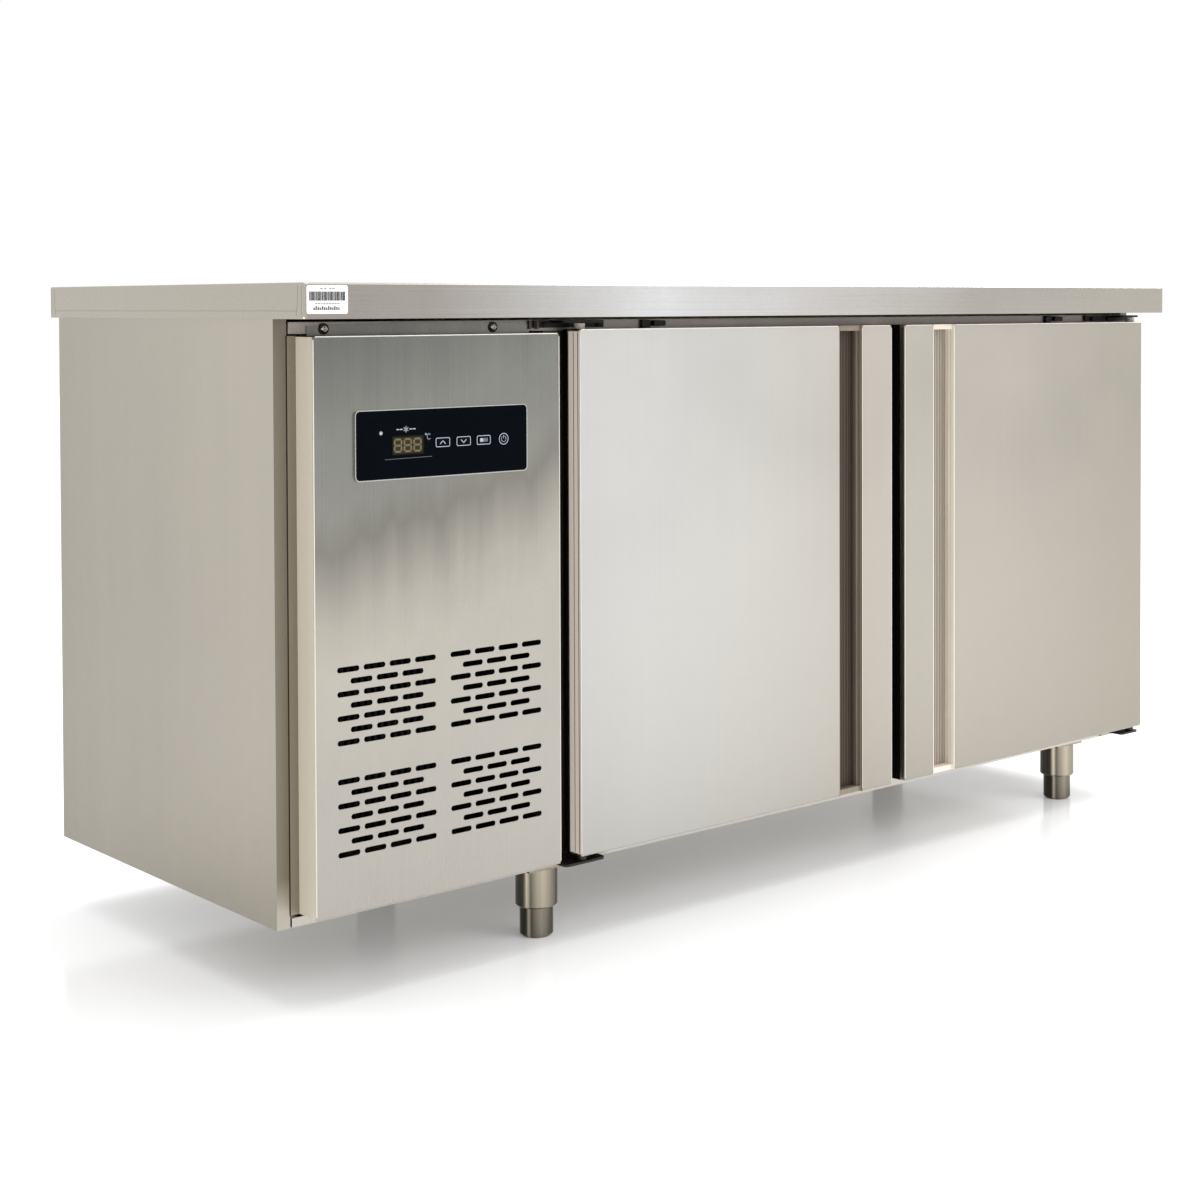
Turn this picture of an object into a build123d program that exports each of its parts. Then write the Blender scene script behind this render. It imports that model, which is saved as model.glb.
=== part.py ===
"""Two-door undercounter refrigerator with a machine bay at its left end.

Millimetres. X runs to the right along the front, Y into the depth (the doors face -Y), +Z is up.
The origin is on the floor under the middle of the worktop. Heights in this file are given with the feet
screwed right in; the feet are drawn screwed out by FEET_OUT, and everything is lifted by as much.
"""
import os

from build123d import *

# Overall size
WIDTH = 1500.0
DEPTH = 600.0
HEIGHT = 760.0
SHEET = 1.0

# Worktop
FOLD = 38.0
HEM = 10.0

# Body shell
BODY_HALF = 748.0
FRONT = -235.0
BACK = 280.0
BASE_Z = 75.0
BODY_TOP = HEIGHT - FOLD
SIDE_FLANGE = 16.0
JAMB_X0 = -730.0
RAIL_X1 = BODY_HALF - SIDE_FLANGE
TOP_RAIL_Z = 706.0
TOP_RAIL_TOP = 718.5
BOTTOM_RAIL_Z = 85.0
RAIL_DEPTH = 24.0

# Machine bay and its service panel
WALL_X = -389.0
PANEL_X0 = -720.0
PANEL_X1 = -391.0
PANEL_Z0 = 87.0
PANEL_Z1 = 704.0
PANEL_BACK = -212.0
TAB_X0 = -708.0
TAB_X1 = -411.0
TAB_END_Z = 714.5
TAB_CROWN_Z = 717.5

# Cold chamber
CAVITY_X0 = -320.0
CAVITY_X1 = 698.0
CAVITY_Z0 = 125.0
CAVITY_Z1 = 672.0
CAVITY_FRONT = -208.0
CAVITY_BACK = 222.0

# Doors: the left one is modelled, the right one is its mirror image
DOOR_FACE = -268.0
DOOR_BACK = -240.0
DOOR_Z0 = 89.0
DOOR_Z1 = 708.0
DOOR_WIDTH = 538.0
DOOR_GAP = 26.0
MIDDLE_X = 190.0
DOOR_X1 = MIDDLE_X - DOOR_GAP / 2
DOOR_X0 = DOOR_X1 - DOOR_WIDTH
MULLION_HALF = 38.0
PLUG_BACK = -228.0
PLUG_CLEAR = 5.0
GASKET_FACE = FRONT - 0.4
EDGE_R = 2.0
SKIN_BACK = -245.0
FREE_RETURN = 9.0
LINER_T = 1.5
TRAY_R = 6.0

# Handle recess along the free edge of a door
LIP = 58.0
GROOVE = 44.0
GROOVE_DEPTH = 18.0
GROOVE_WALL = 1.2
GROOVE_STEP = 3.0
CAP = 7.0

# Hinges
PIVOT_IN = 11.0
PIVOT_BACK = 14.0
PIVOT_X = DOOR_X0 + PIVOT_IN
PIVOT_Y = DOOR_FACE + PIVOT_BACK
PIN_R = 4.0
PIN_CLEAR = 0.05
BUSH_R = 8.0
TOP_BUSH = 18.0
CARTRIDGE = 60.0
COLLAR_R = 6.5
COLLAR = 6.5
BRACKET_T = 3.0

# Legs
LEG_XS = (-383.0, 610.0)
LEG_YS = (-209.5, 135.0)
FEET_OUT = 10.0
SLEEVE_R = 25.0
SLEEVE_Z0 = 26.0
FOOT_R = 19.92
FOOT_TOP = 62.0
SLEEVE_BORE = 20.0
SOLE_R = 17.0

# Control unit
FASCIA_X0 = -669.5
FASCIA_X1 = -441.0
FASCIA_Z0 = 548.5
FASCIA_Z1 = 623.0
FASCIA_T = 3.0
KEY_Z = 585.4
KEY_CLEAR = 0.35
WINDOW = (-622.5, -584.0, 575.5, 593.3)

# Louvres: four groups, each of seven rows with four and three slots in turn
SLOT_L = 27.5
SLOT_H = 6.0
SLOT_PITCH = 33.0
ROW_PITCH = 13.0
LOUVRE_XS = (-692.7, -546.4)
LOUVRE_TOPS = (349.0, 229.5)

# Refrigeration
FAN_X = -556.0
FAN_Z = 250.0
FAN_R = 110.0
COIL_FACE = -158.0
COIL_DEPTH = 36.0
SHROUD_DEPTH = 36.0
SHROUD_BACK = COIL_FACE + COIL_DEPTH + SHROUD_DEPTH
BLADE_Y = SHROUD_BACK + 14.0
MOTOR_Y0 = SHROUD_BACK + 38.0
MOTOR_Y1 = MOTOR_Y0 + 46.0
COMPRESSOR_X = -560.0
COMPRESSOR_Y = 130.0
COMPRESSOR_R = 80.0
COVER_X = -250.0
EVAP_FAN_Y = 10.0
EVAP_FAN_Z = 575.0
EVAP_FAN_R = 58.0
SHAFT_R = 3.0
CAPILLARY_Y = 60.0
CAPILLARY_Z = 440.0
CAPILLARY_R = 2.5
SUCTION_Y = 130.0
SUCTION_Z = 300.0
SUCTION_R = 5.0
DISCHARGE_R = 4.0
DRIER_X = -420.0

# Shelves
SHELF_Z = 390.0
SHELF_Y0 = -185.0
SHELF_Y1 = 205.0
SHELF_GAP = 8.0

# Pan-head screws, as (x, z, plane under the head)
SCREW_HEAD_R = 5.0
BRACKET_SCREW_R = 3.2
SCREW_HEAD_H = 2.4
SCREW_SHANK_R = 2.0
SCREW_LENGTH = 8.0
BRACKET_FACE = FRONT - BRACKET_T
TAB_FACE = FRONT - SHEET


def block(x0, x1, y0, y1, z0, z1):
    """A box between two corners."""
    middle = Pos((x0 + x1) / 2, (y0 + y1) / 2, (z0 + z1) / 2)
    return middle * Box(x1 - x0, y1 - y0, z1 - z0)


def post(x, y, z0, z1, radius):
    """An upright cylinder."""
    return Pos(x, y, (z0 + z1) / 2) * Cylinder(radius, z1 - z0)


def bar_x(x0, x1, y, z, radius):
    """A cylinder along X."""
    return Pos((x0 + x1) / 2, y, z) * Rot(0, 90, 0) * Cylinder(radius, x1 - x0)


def bar_y(x, y0, y1, z, radius):
    """A cylinder along Y."""
    return Pos(x, (y0 + y1) / 2, z) * Rot(90, 0, 0) * Cylinder(radius, y1 - y0)


def group(solids):
    """Separate pieces that share one node."""
    return Compound(children=[Solid(s.solids()[0].wrapped) for s in solids])


def mirrored(shape):
    """The same piece for the right-hand door."""
    return mirror(shape, about=Plane.YZ.offset(MIDDLE_X))


def save(shape, name):
    """Writes one node, lifted by what the feet are screwed out."""
    lifted = [Pos(0, 0, FEET_OUT) * solid for solid in shape.solids()]
    shape = group(lifted) if len(lifted) > 1 else lifted[0]
    export_step(shape, os.path.join("parts", name + ".step"))


def fan_blade(radius, hub_r, blades, depth, pitch):
    """A propeller about Z, hub centred on the origin."""
    fan = Cylinder(hub_r, depth)
    for n in range(blades):
        reach = radius - hub_r + 2
        blade = Pos(hub_r - 2 + reach / 2, 0, 0) * Rot(pitch, 0, 0) * Box(reach, radius * 0.55, 1.6)
        fan += Rot(0, 0, n * 360 / blades) * blade
    return fan & Cylinder(radius, depth + radius)


def screw_places():
    """Where each pan-head screw sits, as (x, z, plane under the head)."""
    right_pivot = 2 * MIDDLE_X - PIVOT_X
    places = [(-687.0, 711.0, TAB_FACE), (-463.0, 711.0, TAB_FACE)]
    places += [(PIVOT_X - 40, 713.0, BRACKET_FACE), (PIVOT_X + 40, 713.0, BRACKET_FACE)]
    places += [(right_pivot - 78, 713.0, BRACKET_FACE), (right_pivot - 38, 713.0, BRACKET_FACE)]
    places += [(PIVOT_X - 42, 80.5, BRACKET_FACE), (PIVOT_X + 40, 80.5, BRACKET_FACE)]
    places += [(right_pivot - 40, 80.5, BRACKET_FACE)]
    return places


def drilled(shape):
    """The sheet with a hole for each screw."""
    for x, z, _ in screw_places():
        shape -= bar_y(x, FRONT - 6, FRONT + 6, z, SCREW_SHANK_R)
    return shape


def panel_screws():
    screws = []
    for x, z, seat in screw_places():
        radius = SCREW_HEAD_R if seat == TAB_FACE else BRACKET_SCREW_R
        head = bar_y(x, seat - SCREW_HEAD_H, seat, z, radius)
        rim = head.faces().sort_by(Axis.Y)[0].edges()
        head = fillet(rim, 1.2)
        arm = 0.6 * radius
        slot = block(x - arm, x + arm, seat - SCREW_HEAD_H - 1, seat - 1.4, z - 0.5, z + 0.5)
        slot += block(x - 0.5, x + 0.5, seat - SCREW_HEAD_H - 1, seat - 1.4, z - arm, z + arm)
        screws.append(head - slot + bar_y(x, seat, seat + SCREW_LENGTH, z, SCREW_SHANK_R))
    return group(screws)


def worktop():
    """Folded pan, with a hem turned in along its lower edge."""
    x, y = WIDTH / 2, DEPTH / 2
    pan = block(-x, x, -y, y, BODY_TOP, HEIGHT)
    pan = fillet(pan.edges().filter_by(Axis.Z) + pan.faces().sort_by(Axis.Z)[-1].edges(), EDGE_R)
    pan -= block(-x + SHEET, x - SHEET, -y + SHEET, y - SHEET, BODY_TOP + SHEET, HEIGHT - SHEET)
    return pan - block(-x + HEM, x - HEM, -y + HEM, y - HEM, BODY_TOP - 1, BODY_TOP + SHEET)


def worktop_core():
    x, y = WIDTH / 2 - SHEET, DEPTH / 2 - SHEET
    return block(-x, x, -y, y, BODY_TOP + SHEET, HEIGHT - SHEET)


def side_panel():
    """Left side: a sheet with a flange along its front and its back edge."""
    x0 = -BODY_HALF
    panel = block(x0, x0 + SIDE_FLANGE, FRONT, BACK - SHEET, BASE_Z, BODY_TOP)
    return panel - block(x0 + SHEET, x0 + 20, FRONT + SHEET, BACK - 2 * SHEET, BASE_Z - 1, BODY_TOP + 1)


def back_panel():
    """Plain sheet with a rear grille for the machine bay and a hole for the cord gland."""
    panel = block(-BODY_HALF, BODY_HALF, BACK - SHEET, BACK, BASE_Z, BODY_TOP)
    for n in range(12):
        z = 140 + n * 26
        slot = block(-690, -440, BACK - 5, BACK + 5, z - 4, z + 4)
        panel -= fillet(slot.edges().filter_by(Axis.Y), 3.9)
    return panel - bar_y(-480, BACK - 5, BACK + 5, 110, 8)


def base_panel():
    base = block(-BODY_HALF + SHEET, BODY_HALF - SHEET, FRONT + SHEET, BACK - 2 * SHEET, BASE_Z, BASE_Z + SHEET)
    return base


def top_rail():
    """Upper rail: a folded channel a little short of the worktop, which leaves a shadow gap."""
    depth = FRONT + RAIL_DEPTH
    rail = block(JAMB_X0, RAIL_X1, FRONT, depth, TOP_RAIL_Z, TOP_RAIL_TOP)
    rail -= block(JAMB_X0 - 1, RAIL_X1 + 1, FRONT + SHEET, depth + 1, TOP_RAIL_Z + SHEET, TOP_RAIL_TOP - SHEET)
    return drilled(rail)


def bottom_rail():
    """Lower rail: an angle in front of the base."""
    rail = block(JAMB_X0, RAIL_X1, FRONT, FRONT + SHEET, BASE_Z, BOTTOM_RAIL_Z)
    rail += block(JAMB_X0, RAIL_X1, FRONT, FRONT + RAIL_DEPTH, BOTTOM_RAIL_Z - SHEET, BOTTOM_RAIL_Z)
    return drilled(rail)


def partition_wall():
    """Wall between the machine bay and the cold chamber, folded round to the front as a post."""
    wall = block(WALL_X, WALL_X + SHEET, FRONT, BACK - 2 * SHEET, BOTTOM_RAIL_Z, TOP_RAIL_Z)
    wall += block(WALL_X, CAVITY_X0, FRONT, FRONT + SHEET, BOTTOM_RAIL_Z, TOP_RAIL_Z)
    wall += block(CAVITY_X0 - SHEET, CAVITY_X0, FRONT, CAVITY_FRONT, BOTTOM_RAIL_Z, TOP_RAIL_Z)
    return wall - pipe_holes()


def right_post():
    wall = block(CAVITY_X1, RAIL_X1, FRONT, FRONT + SHEET, BOTTOM_RAIL_Z, TOP_RAIL_Z)
    return wall + block(CAVITY_X1, CAVITY_X1 + SHEET, FRONT, CAVITY_FRONT, BOTTOM_RAIL_Z, TOP_RAIL_Z)


def mullion_post():
    """Dark post behind the gap between the doors, closed all round."""
    return mullion_block(BOTTOM_RAIL_Z, TOP_RAIL_Z)


def mullion_block(z0, z1):
    return block(MIDDLE_X - MULLION_HALF, MIDDLE_X + MULLION_HALF, FRONT, CAVITY_FRONT, z0, z1)


def door_header():
    """Two strips over the door openings, one each side of the mullion."""
    x0, x1 = CAVITY_X0, CAVITY_X1
    strip = block(x0, x1, FRONT, FRONT + SHEET, CAVITY_Z1, TOP_RAIL_Z)
    strip += block(x0, x1, FRONT, CAVITY_FRONT, CAVITY_Z1, CAVITY_Z1 + SHEET)
    return group((strip - mullion_block(CAVITY_Z1 - 1, TOP_RAIL_Z + 1)).solids())


def door_sill():
    """Two strips under the door openings, one each side of the mullion."""
    x0, x1 = CAVITY_X0, CAVITY_X1
    strip = block(x0, x1, FRONT, FRONT + SHEET, BOTTOM_RAIL_Z, CAVITY_Z0)
    strip += block(x0, x1, FRONT, CAVITY_FRONT, CAVITY_Z0 - SHEET, CAVITY_Z0)
    return group((strip - mullion_block(BOTTOM_RAIL_Z - 1, CAVITY_Z0 + 1)).solids())


def cabinet_liner():
    """Five stainless sheets round the cold chamber."""
    x0, x1, y0, y1 = CAVITY_X0, CAVITY_X1, CAVITY_FRONT, CAVITY_BACK
    z0, z1 = CAVITY_Z0, CAVITY_Z1
    left = block(x0 - SHEET, x0, y0, y1, z0, z1) - pipe_holes()
    right = block(x1, x1 + SHEET, y0, y1, z0, z1)
    floor = block(x0 - SHEET, x1 + SHEET, y0, y1 + SHEET, z0 - SHEET, z0)
    ceiling = block(x0 - SHEET, x1 + SHEET, y0, y1 + SHEET, z1, z1 + SHEET)
    rear = block(x0 - SHEET, x1 + SHEET, y1, y1 + SHEET, z0, z1)
    return group([left, right, floor, ceiling, rear])


def cabinet_foam():
    """Foam between the liner and the shell."""
    foam = block(WALL_X + SHEET, BODY_HALF - SHEET, CAVITY_FRONT, BACK - 2 * SHEET, BASE_Z + SHEET, BODY_TOP - 2)
    hollow = block(
        CAVITY_X0 - SHEET, CAVITY_X1 + SHEET, CAVITY_FRONT - 1, CAVITY_BACK + SHEET,
        CAVITY_Z0 - SHEET, CAVITY_Z1 + SHEET,
    )
    return foam - hollow - pipe_holes()


def pipe_holes():
    """Holes that the two refrigerant pipes take through the partition."""
    x0, x1 = WALL_X - 5, CAVITY_X0 + 5
    capillary = bar_x(x0, x1, CAPILLARY_Y, CAPILLARY_Z, CAPILLARY_R + 0.2)
    return capillary + bar_x(x0, x1, SUCTION_Y, SUCTION_Z, SUCTION_R + 0.2)


def service_panel():
    """Box-shaped cover with louvres, a cut-out for the control unit and a fixing tab on top."""
    panel = block(PANEL_X0, PANEL_X1, DOOR_FACE, PANEL_BACK, PANEL_Z0, PANEL_Z1)
    rim = panel.faces().sort_by(Axis.Y)[0].edges() + panel.edges().filter_by(Axis.Y)
    panel = fillet(rim, EDGE_R)
    panel -= block(
        PANEL_X0 + SHEET, PANEL_X1 - SHEET, DOOR_FACE + SHEET, PANEL_BACK + 1,
        PANEL_Z0 + SHEET, PANEL_Z1 - SHEET,
    )
    panel -= block(PANEL_X0 - 1, PANEL_X1 + 1, FRONT, PANEL_BACK + 1, PANEL_Z1 - SHEET, PANEL_Z1 + 1)
    panel += fixing_tab()
    panel -= block(FASCIA_X0 + 8, FASCIA_X1 - 8, DOOR_FACE - 1, DOOR_FACE + 2, FASCIA_Z0 + 6, FASCIA_Z1 - 6)
    return drilled(panel - louvres())


def fixing_tab():
    """Lug with an arched top edge, in front of the upper rail, drilled for two screws."""
    arch = ThreePointArc((TAB_X1, TAB_END_Z), ((TAB_X0 + TAB_X1) / 2, TAB_CROWN_Z), (TAB_X0, TAB_END_Z))
    sides = Polyline((TAB_X0, TAB_END_Z), (TAB_X0, PANEL_Z1 - SHEET), (TAB_X1, PANEL_Z1 - SHEET), (TAB_X1, TAB_END_Z))
    outline = make_face(arch + sides)
    return Plane.XZ.offset(-FRONT) * extrude(outline, SHEET)


def louvres():
    slots = []
    slot = block(0, SLOT_L, DOOR_FACE - 2, DOOR_FACE + 3, -SLOT_H / 2, SLOT_H / 2)
    slot = fillet(slot.edges().filter_by(Axis.Y), SLOT_H / 2 - 0.1)
    for left in LOUVRE_XS:
        for top in LOUVRE_TOPS:
            for row in range(7):
                short = row % 2
                for n in range(4 - short):
                    x = left + n * SLOT_PITCH + short * SLOT_PITCH / 2
                    slots.append(Pos(x, 0, top - row * ROW_PITCH) * slot)
    return slots


def key_outline(x0, x1, z0, z1, y0, y1, radius):
    key = block(x0, x1, y0, y1, z0, z1)
    return fillet(key.edges().filter_by(Axis.Y), radius)


KEYS = {
    "up_key": (-568.0, -547.5, 11.6, 2.5),
    "down_key": (-540.0, -519.4, 11.6, 2.5),
    "light_key": (-512.5, -492.1, 11.6, 2.5),
    "power_key": (-482.0, -467.0, 15.0, 7.4),
}


def key(name):
    """Key cap with a flange behind the fascia that keeps it in."""
    x0, x1, tall, radius = KEYS[name]
    z0, z1 = KEY_Z - tall / 2, KEY_Z + tall / 2
    cap = key_outline(x0, x1, z0, z1, DOOR_FACE - FASCIA_T - 0.6, DOOR_FACE + 0.2, radius)
    rim = cap.faces().sort_by(Axis.Y)[0].edges()
    cap = fillet(rim, 0.4)
    return cap + block(x0 - 1.5, x1 + 1.5, DOOR_FACE + 0.2, DOOR_FACE + 1.6, z0 - 1.5, z1 + 1.5)


def control_fascia():
    """Fascia plate with a housing behind it, open where the keys and the window sit."""
    plate_y = DOOR_FACE - FASCIA_T
    plate = key_outline(FASCIA_X0, FASCIA_X1, FASCIA_Z0, FASCIA_Z1, plate_y, DOOR_FACE, 5)
    plate = fillet(plate.faces().sort_by(Axis.Y)[0].edges(), 1.0)
    x0, x1, z0, z1 = FASCIA_X0 + 8, FASCIA_X1 - 8, FASCIA_Z0 + 6, FASCIA_Z1 - 6
    housing = block(x0, x1, DOOR_FACE, DOOR_FACE + 48, z0, z1)
    housing -= block(x0 + 2, x1 - 2, DOOR_FACE, DOOR_FACE + 46, z0 + 2, z1 - 2)
    unit = plate + housing
    for name, (kx0, kx1, tall, radius) in KEYS.items():
        hole = key_outline(
            kx0 - KEY_CLEAR, kx1 + KEY_CLEAR, KEY_Z - tall / 2 - KEY_CLEAR, KEY_Z + tall / 2 + KEY_CLEAR,
            plate_y - 1, DOOR_FACE + 1, radius,
        )
        unit -= hole
    return unit - display_window()


def display_window():
    x0, x1, z0, z1 = WINDOW
    return block(x0, x1, DOOR_FACE - FASCIA_T, DOOR_FACE - FASCIA_T + 1.2, z0, z1)


def door_skin():
    """Outer door pan, slit along the handle recess."""
    skin = block(DOOR_X0, DOOR_X1, DOOR_FACE, DOOR_BACK, DOOR_Z0, DOOR_Z1)
    rim = skin.faces().sort_by(Axis.Y)[0].edges() + skin.edges().filter_by(Axis.Y)
    skin = fillet(rim, EDGE_R)
    skin -= block(
        DOOR_X0 + SHEET, DOOR_X1 - SHEET, DOOR_FACE + SHEET, DOOR_BACK + 1, DOOR_Z0 + SHEET, DOOR_Z1 - SHEET,
    )
    skin -= recess_outline()
    skin -= edge_outline()
    return skin - post(PIVOT_X, PIVOT_Y, DOOR_Z0 - 1, DOOR_Z1 + 1, BUSH_R)


def edge_outline():
    """Where the gasket's carrier takes over from the skin: further forward along the free edge."""
    zone = block(DOOR_X0, DOOR_X1, SKIN_BACK, DOOR_BACK, DOOR_Z0, DOOR_Z1)
    return zone + block(DOOR_X1 - SHEET, DOOR_X1, DOOR_FACE + FREE_RETURN, DOOR_BACK, DOOR_Z0, DOOR_Z1)


def recess_outline():
    x1 = DOOR_X1 - LIP
    return block(x1 - GROOVE, x1, DOOR_FACE - 1, DOOR_FACE + GROOVE_DEPTH, DOOR_Z0 - 1, DOOR_Z1 + 1)


def door_handle():
    """Full-height recessed grip: a channel with a step in its grip wall and a cap at each end."""
    x1 = DOOR_X1 - LIP
    x0 = x1 - GROOVE
    y0, y1 = DOOR_FACE, DOOR_FACE + GROOVE_DEPTH
    grip = block(x0, x1, y0, y1, DOOR_Z0, DOOR_Z1)
    inner_x0, inner_x1, floor_y = x0 + GROOVE_WALL, x1 - GROOVE_WALL, y1 - GROOVE_WALL
    grip -= block(inner_x0, inner_x1, y0 - 1, y0 + 8, DOOR_Z0 + CAP, DOOR_Z1 - CAP)
    grip -= block(inner_x0, inner_x1 - GROOVE_STEP, y0, floor_y, DOOR_Z0 + CAP, DOOR_Z1 - CAP)
    for z0 in (DOOR_Z0 - 1, DOOR_Z1 - CAP - 1):
        grip -= block(inner_x0, inner_x1, y0 - 1, y0 + 3.5, z0, z0 + CAP + 2)
    for a, b in ((x0 - 8, x0), (x1, x1 + 8)):
        grip += block(a, b, y0 + SHEET, y0 + 2 * SHEET, DOOR_Z0 + SHEET, DOOR_Z1 - SHEET)
    return grip


def tray_block(wall, y0):
    """Raised middle of the door's inner liner, from plane y0 to its back, smaller all round by wall."""
    x0, x1 = CAVITY_X0 + PLUG_CLEAR, MIDDLE_X - MULLION_HALF - PLUG_CLEAR
    z0, z1 = CAVITY_Z0 + PLUG_CLEAR, CAVITY_Z1 - PLUG_CLEAR
    tray = block(x0 + wall, x1 - wall, y0, PLUG_BACK - wall, z0 + wall, z1 - wall)
    return fillet(tray.faces().sort_by(Axis.Y)[-1].edges() + tray.edges().filter_by(Axis.Y), TRAY_R - wall)


def door_liner():
    """Inner liner: a plate with a raised tray that plugs into the opening."""
    plate = block(
        DOOR_X0 + SHEET, DOOR_X1 - SHEET, DOOR_BACK - LINER_T, DOOR_BACK, DOOR_Z0 + SHEET, DOOR_Z1 - SHEET,
    )
    liner = plate + tray_block(0, DOOR_BACK - LINER_T) - tray_block(LINER_T, DOOR_BACK - LINER_T - 1)
    return liner


def door_foam():
    foam = block(
        DOOR_X0 + SHEET, DOOR_X1 - SHEET, DOOR_FACE + SHEET, DOOR_BACK - LINER_T,
        DOOR_Z0 + SHEET, DOOR_Z1 - SHEET,
    )
    x1 = DOOR_X1 - LIP
    foam -= recess_outline()
    foam -= block(x1 - GROOVE - 8, x1 + 8, DOOR_FACE, DOOR_FACE + 2 * SHEET, DOOR_Z0, DOOR_Z1)
    foam += tray_block(LINER_T, DOOR_BACK - LINER_T)
    return foam - post(PIVOT_X, PIVOT_Y, DOOR_Z0 - 1, DOOR_Z1 + 1, BUSH_R)


def door_gasket():
    """Magnetic gasket round the tray, and the dark carrier that closes the door's edge behind the skin."""
    x0, x1 = PIVOT_X + 1.5, DOOR_X1 - 11
    z0, z1 = DOOR_Z0 + 13, DOOR_Z1 - 13
    ring = block(x0, x1, DOOR_BACK, GASKET_FACE, z0, z1)
    ring = chamfer(ring.faces().sort_by(Axis.Y)[-1].edges(), 1.5)
    tray_x0, tray_x1 = CAVITY_X0 + PLUG_CLEAR, MIDDLE_X - MULLION_HALF - PLUG_CLEAR
    hole = block(
        tray_x0 - 2, tray_x1 + 2, DOOR_BACK - 1, GASKET_FACE + 1,
        CAVITY_Z0 + PLUG_CLEAR - 2, CAVITY_Z1 - PLUG_CLEAR + 2,
    )
    carrier = edge_outline() - block(
        DOOR_X0 + SHEET, DOOR_X1 - SHEET, DOOR_FACE, DOOR_BACK + 1, DOOR_Z0 + SHEET, DOOR_Z1 - SHEET,
    )
    return group([ring - hole, carrier])


def door_bushes():
    """Plain bush at the top, self-closing cartridge at the bottom."""
    bore = PIN_R + PIN_CLEAR
    top = post(PIVOT_X, PIVOT_Y, DOOR_Z1 - TOP_BUSH, DOOR_Z1, BUSH_R)
    top += post(PIVOT_X, PIVOT_Y, DOOR_Z1, DOOR_Z1 + COLLAR, COLLAR_R)
    top -= post(PIVOT_X, PIVOT_Y, DOOR_Z1 - TOP_BUSH + 2, DOOR_Z1 + COLLAR + 1, bore)
    cartridge = post(PIVOT_X, PIVOT_Y, DOOR_Z0, DOOR_Z0 + CARTRIDGE, BUSH_R)
    cartridge += post(PIVOT_X, PIVOT_Y, DOOR_Z0 - COLLAR, DOOR_Z0, COLLAR_R)
    cartridge -= post(PIVOT_X, PIVOT_Y, DOOR_Z0 - COLLAR - 1, DOOR_Z0 + TOP_BUSH - 2, bore)
    return group([top, cartridge])


def hinge_bracket(pivot_x, plate_x0, plate_x1, leaf_x0, leaf_x1, top):
    """Angle bracket screwed to a rail, with the pin that the door turns on."""
    if top:
        leaf_z0 = TOP_RAIL_TOP - BRACKET_T - 0.5
        plate_z0, plate_z1 = DOOR_Z1 + 1.5, leaf_z0 + BRACKET_T
        pin_z0, pin_z1 = DOOR_Z1 - TOP_BUSH + 4, leaf_z0 + 1
    else:
        leaf_z0 = DOOR_Z0 - COLLAR - 0.5 - BRACKET_T
        plate_z0, plate_z1 = BASE_Z + 1, PANEL_Z0 - 1
        pin_z0, pin_z1 = leaf_z0 + BRACKET_T - 1, DOOR_Z0 + TOP_BUSH - 4
    plate = block(plate_x0, plate_x1, BRACKET_FACE, FRONT, plate_z0, plate_z1)
    leaf = block(leaf_x0, leaf_x1, PIVOT_Y - 9, FRONT - 1, leaf_z0, leaf_z0 + BRACKET_T)
    leaf = fillet(leaf.edges().filter_by(Axis.Z).sort_by(Axis.Y)[0:2], 6)
    return drilled(plate + leaf + post(pivot_x, PIVOT_Y, pin_z0, pin_z1, PIN_R))


def hinge_brackets(top):
    """The left and the right bracket. The right one stops at the body's corner."""
    right_pivot = 2 * MIDDLE_X - PIVOT_X
    right_reach = 90 if top else 48
    left = hinge_bracket(PIVOT_X, PIVOT_X - 55, PIVOT_X + 50, PIVOT_X - 30, PIVOT_X + 30, top)
    right = hinge_bracket(
        right_pivot, right_pivot - right_reach, BODY_HALF - 1, right_pivot - 30, right_pivot + 12, top,
    )
    return group([left, right])


def leg_places():
    return [(x, y) for y in LEG_YS for x in LEG_XS]


def leg_sleeves():
    """Fixed upper halves of the legs: a tube under a square plate."""
    sleeves = []
    for x, y in leg_places():
        tube = post(x, y, SLEEVE_Z0, BASE_Z - 3, SLEEVE_R)
        tube = chamfer(tube.faces().sort_by(Axis.Z)[0].edges(), 2)
        plate = block(x - 29, x + 29, max(y - 29, FRONT + SHEET), y + 29, BASE_Z - 3, BASE_Z)
        sleeves.append(tube + plate - post(x, y, SLEEVE_Z0 - 1, FOOT_TOP + 4, SLEEVE_BORE))
    return group(sleeves)


def foot(x, y):
    """Adjustable foot: a cup that screws into the sleeve, with a chamfered sole."""
    body = post(x, y, -FEET_OUT, FOOT_TOP - FEET_OUT, FOOT_R)
    return chamfer(body.faces().sort_by(Axis.Z)[0].edges(), FOOT_R - SOLE_R)


def shelf(x0, x1):
    """Wire shelf: a rim of thick wire, two cross bars and thin wires from front to back."""
    r, thin = 3.0, 1.6
    z = SHELF_Z
    grid = block(x0, x1, SHELF_Y0, SHELF_Y0 + 2 * r, z - r, z + r)
    for y in (SHELF_Y1 - 2 * r, (SHELF_Y0 + SHELF_Y1) / 2 - r):
        grid += block(x0, x1, y, y + 2 * r, z - r, z + r)
    for x in (x0, x1 - 2 * r):
        grid += block(x, x + 2 * r, SHELF_Y0, SHELF_Y1, z - r, z + r)
    count = int((x1 - x0) // 30)
    step = (x1 - x0) / count
    wires = [block(x0 + n * step - thin, x0 + n * step + thin, SHELF_Y0 + r, SHELF_Y1 - r, z, z + 2 * thin)
             for n in range(1, count)]
    return grid + wires


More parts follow.
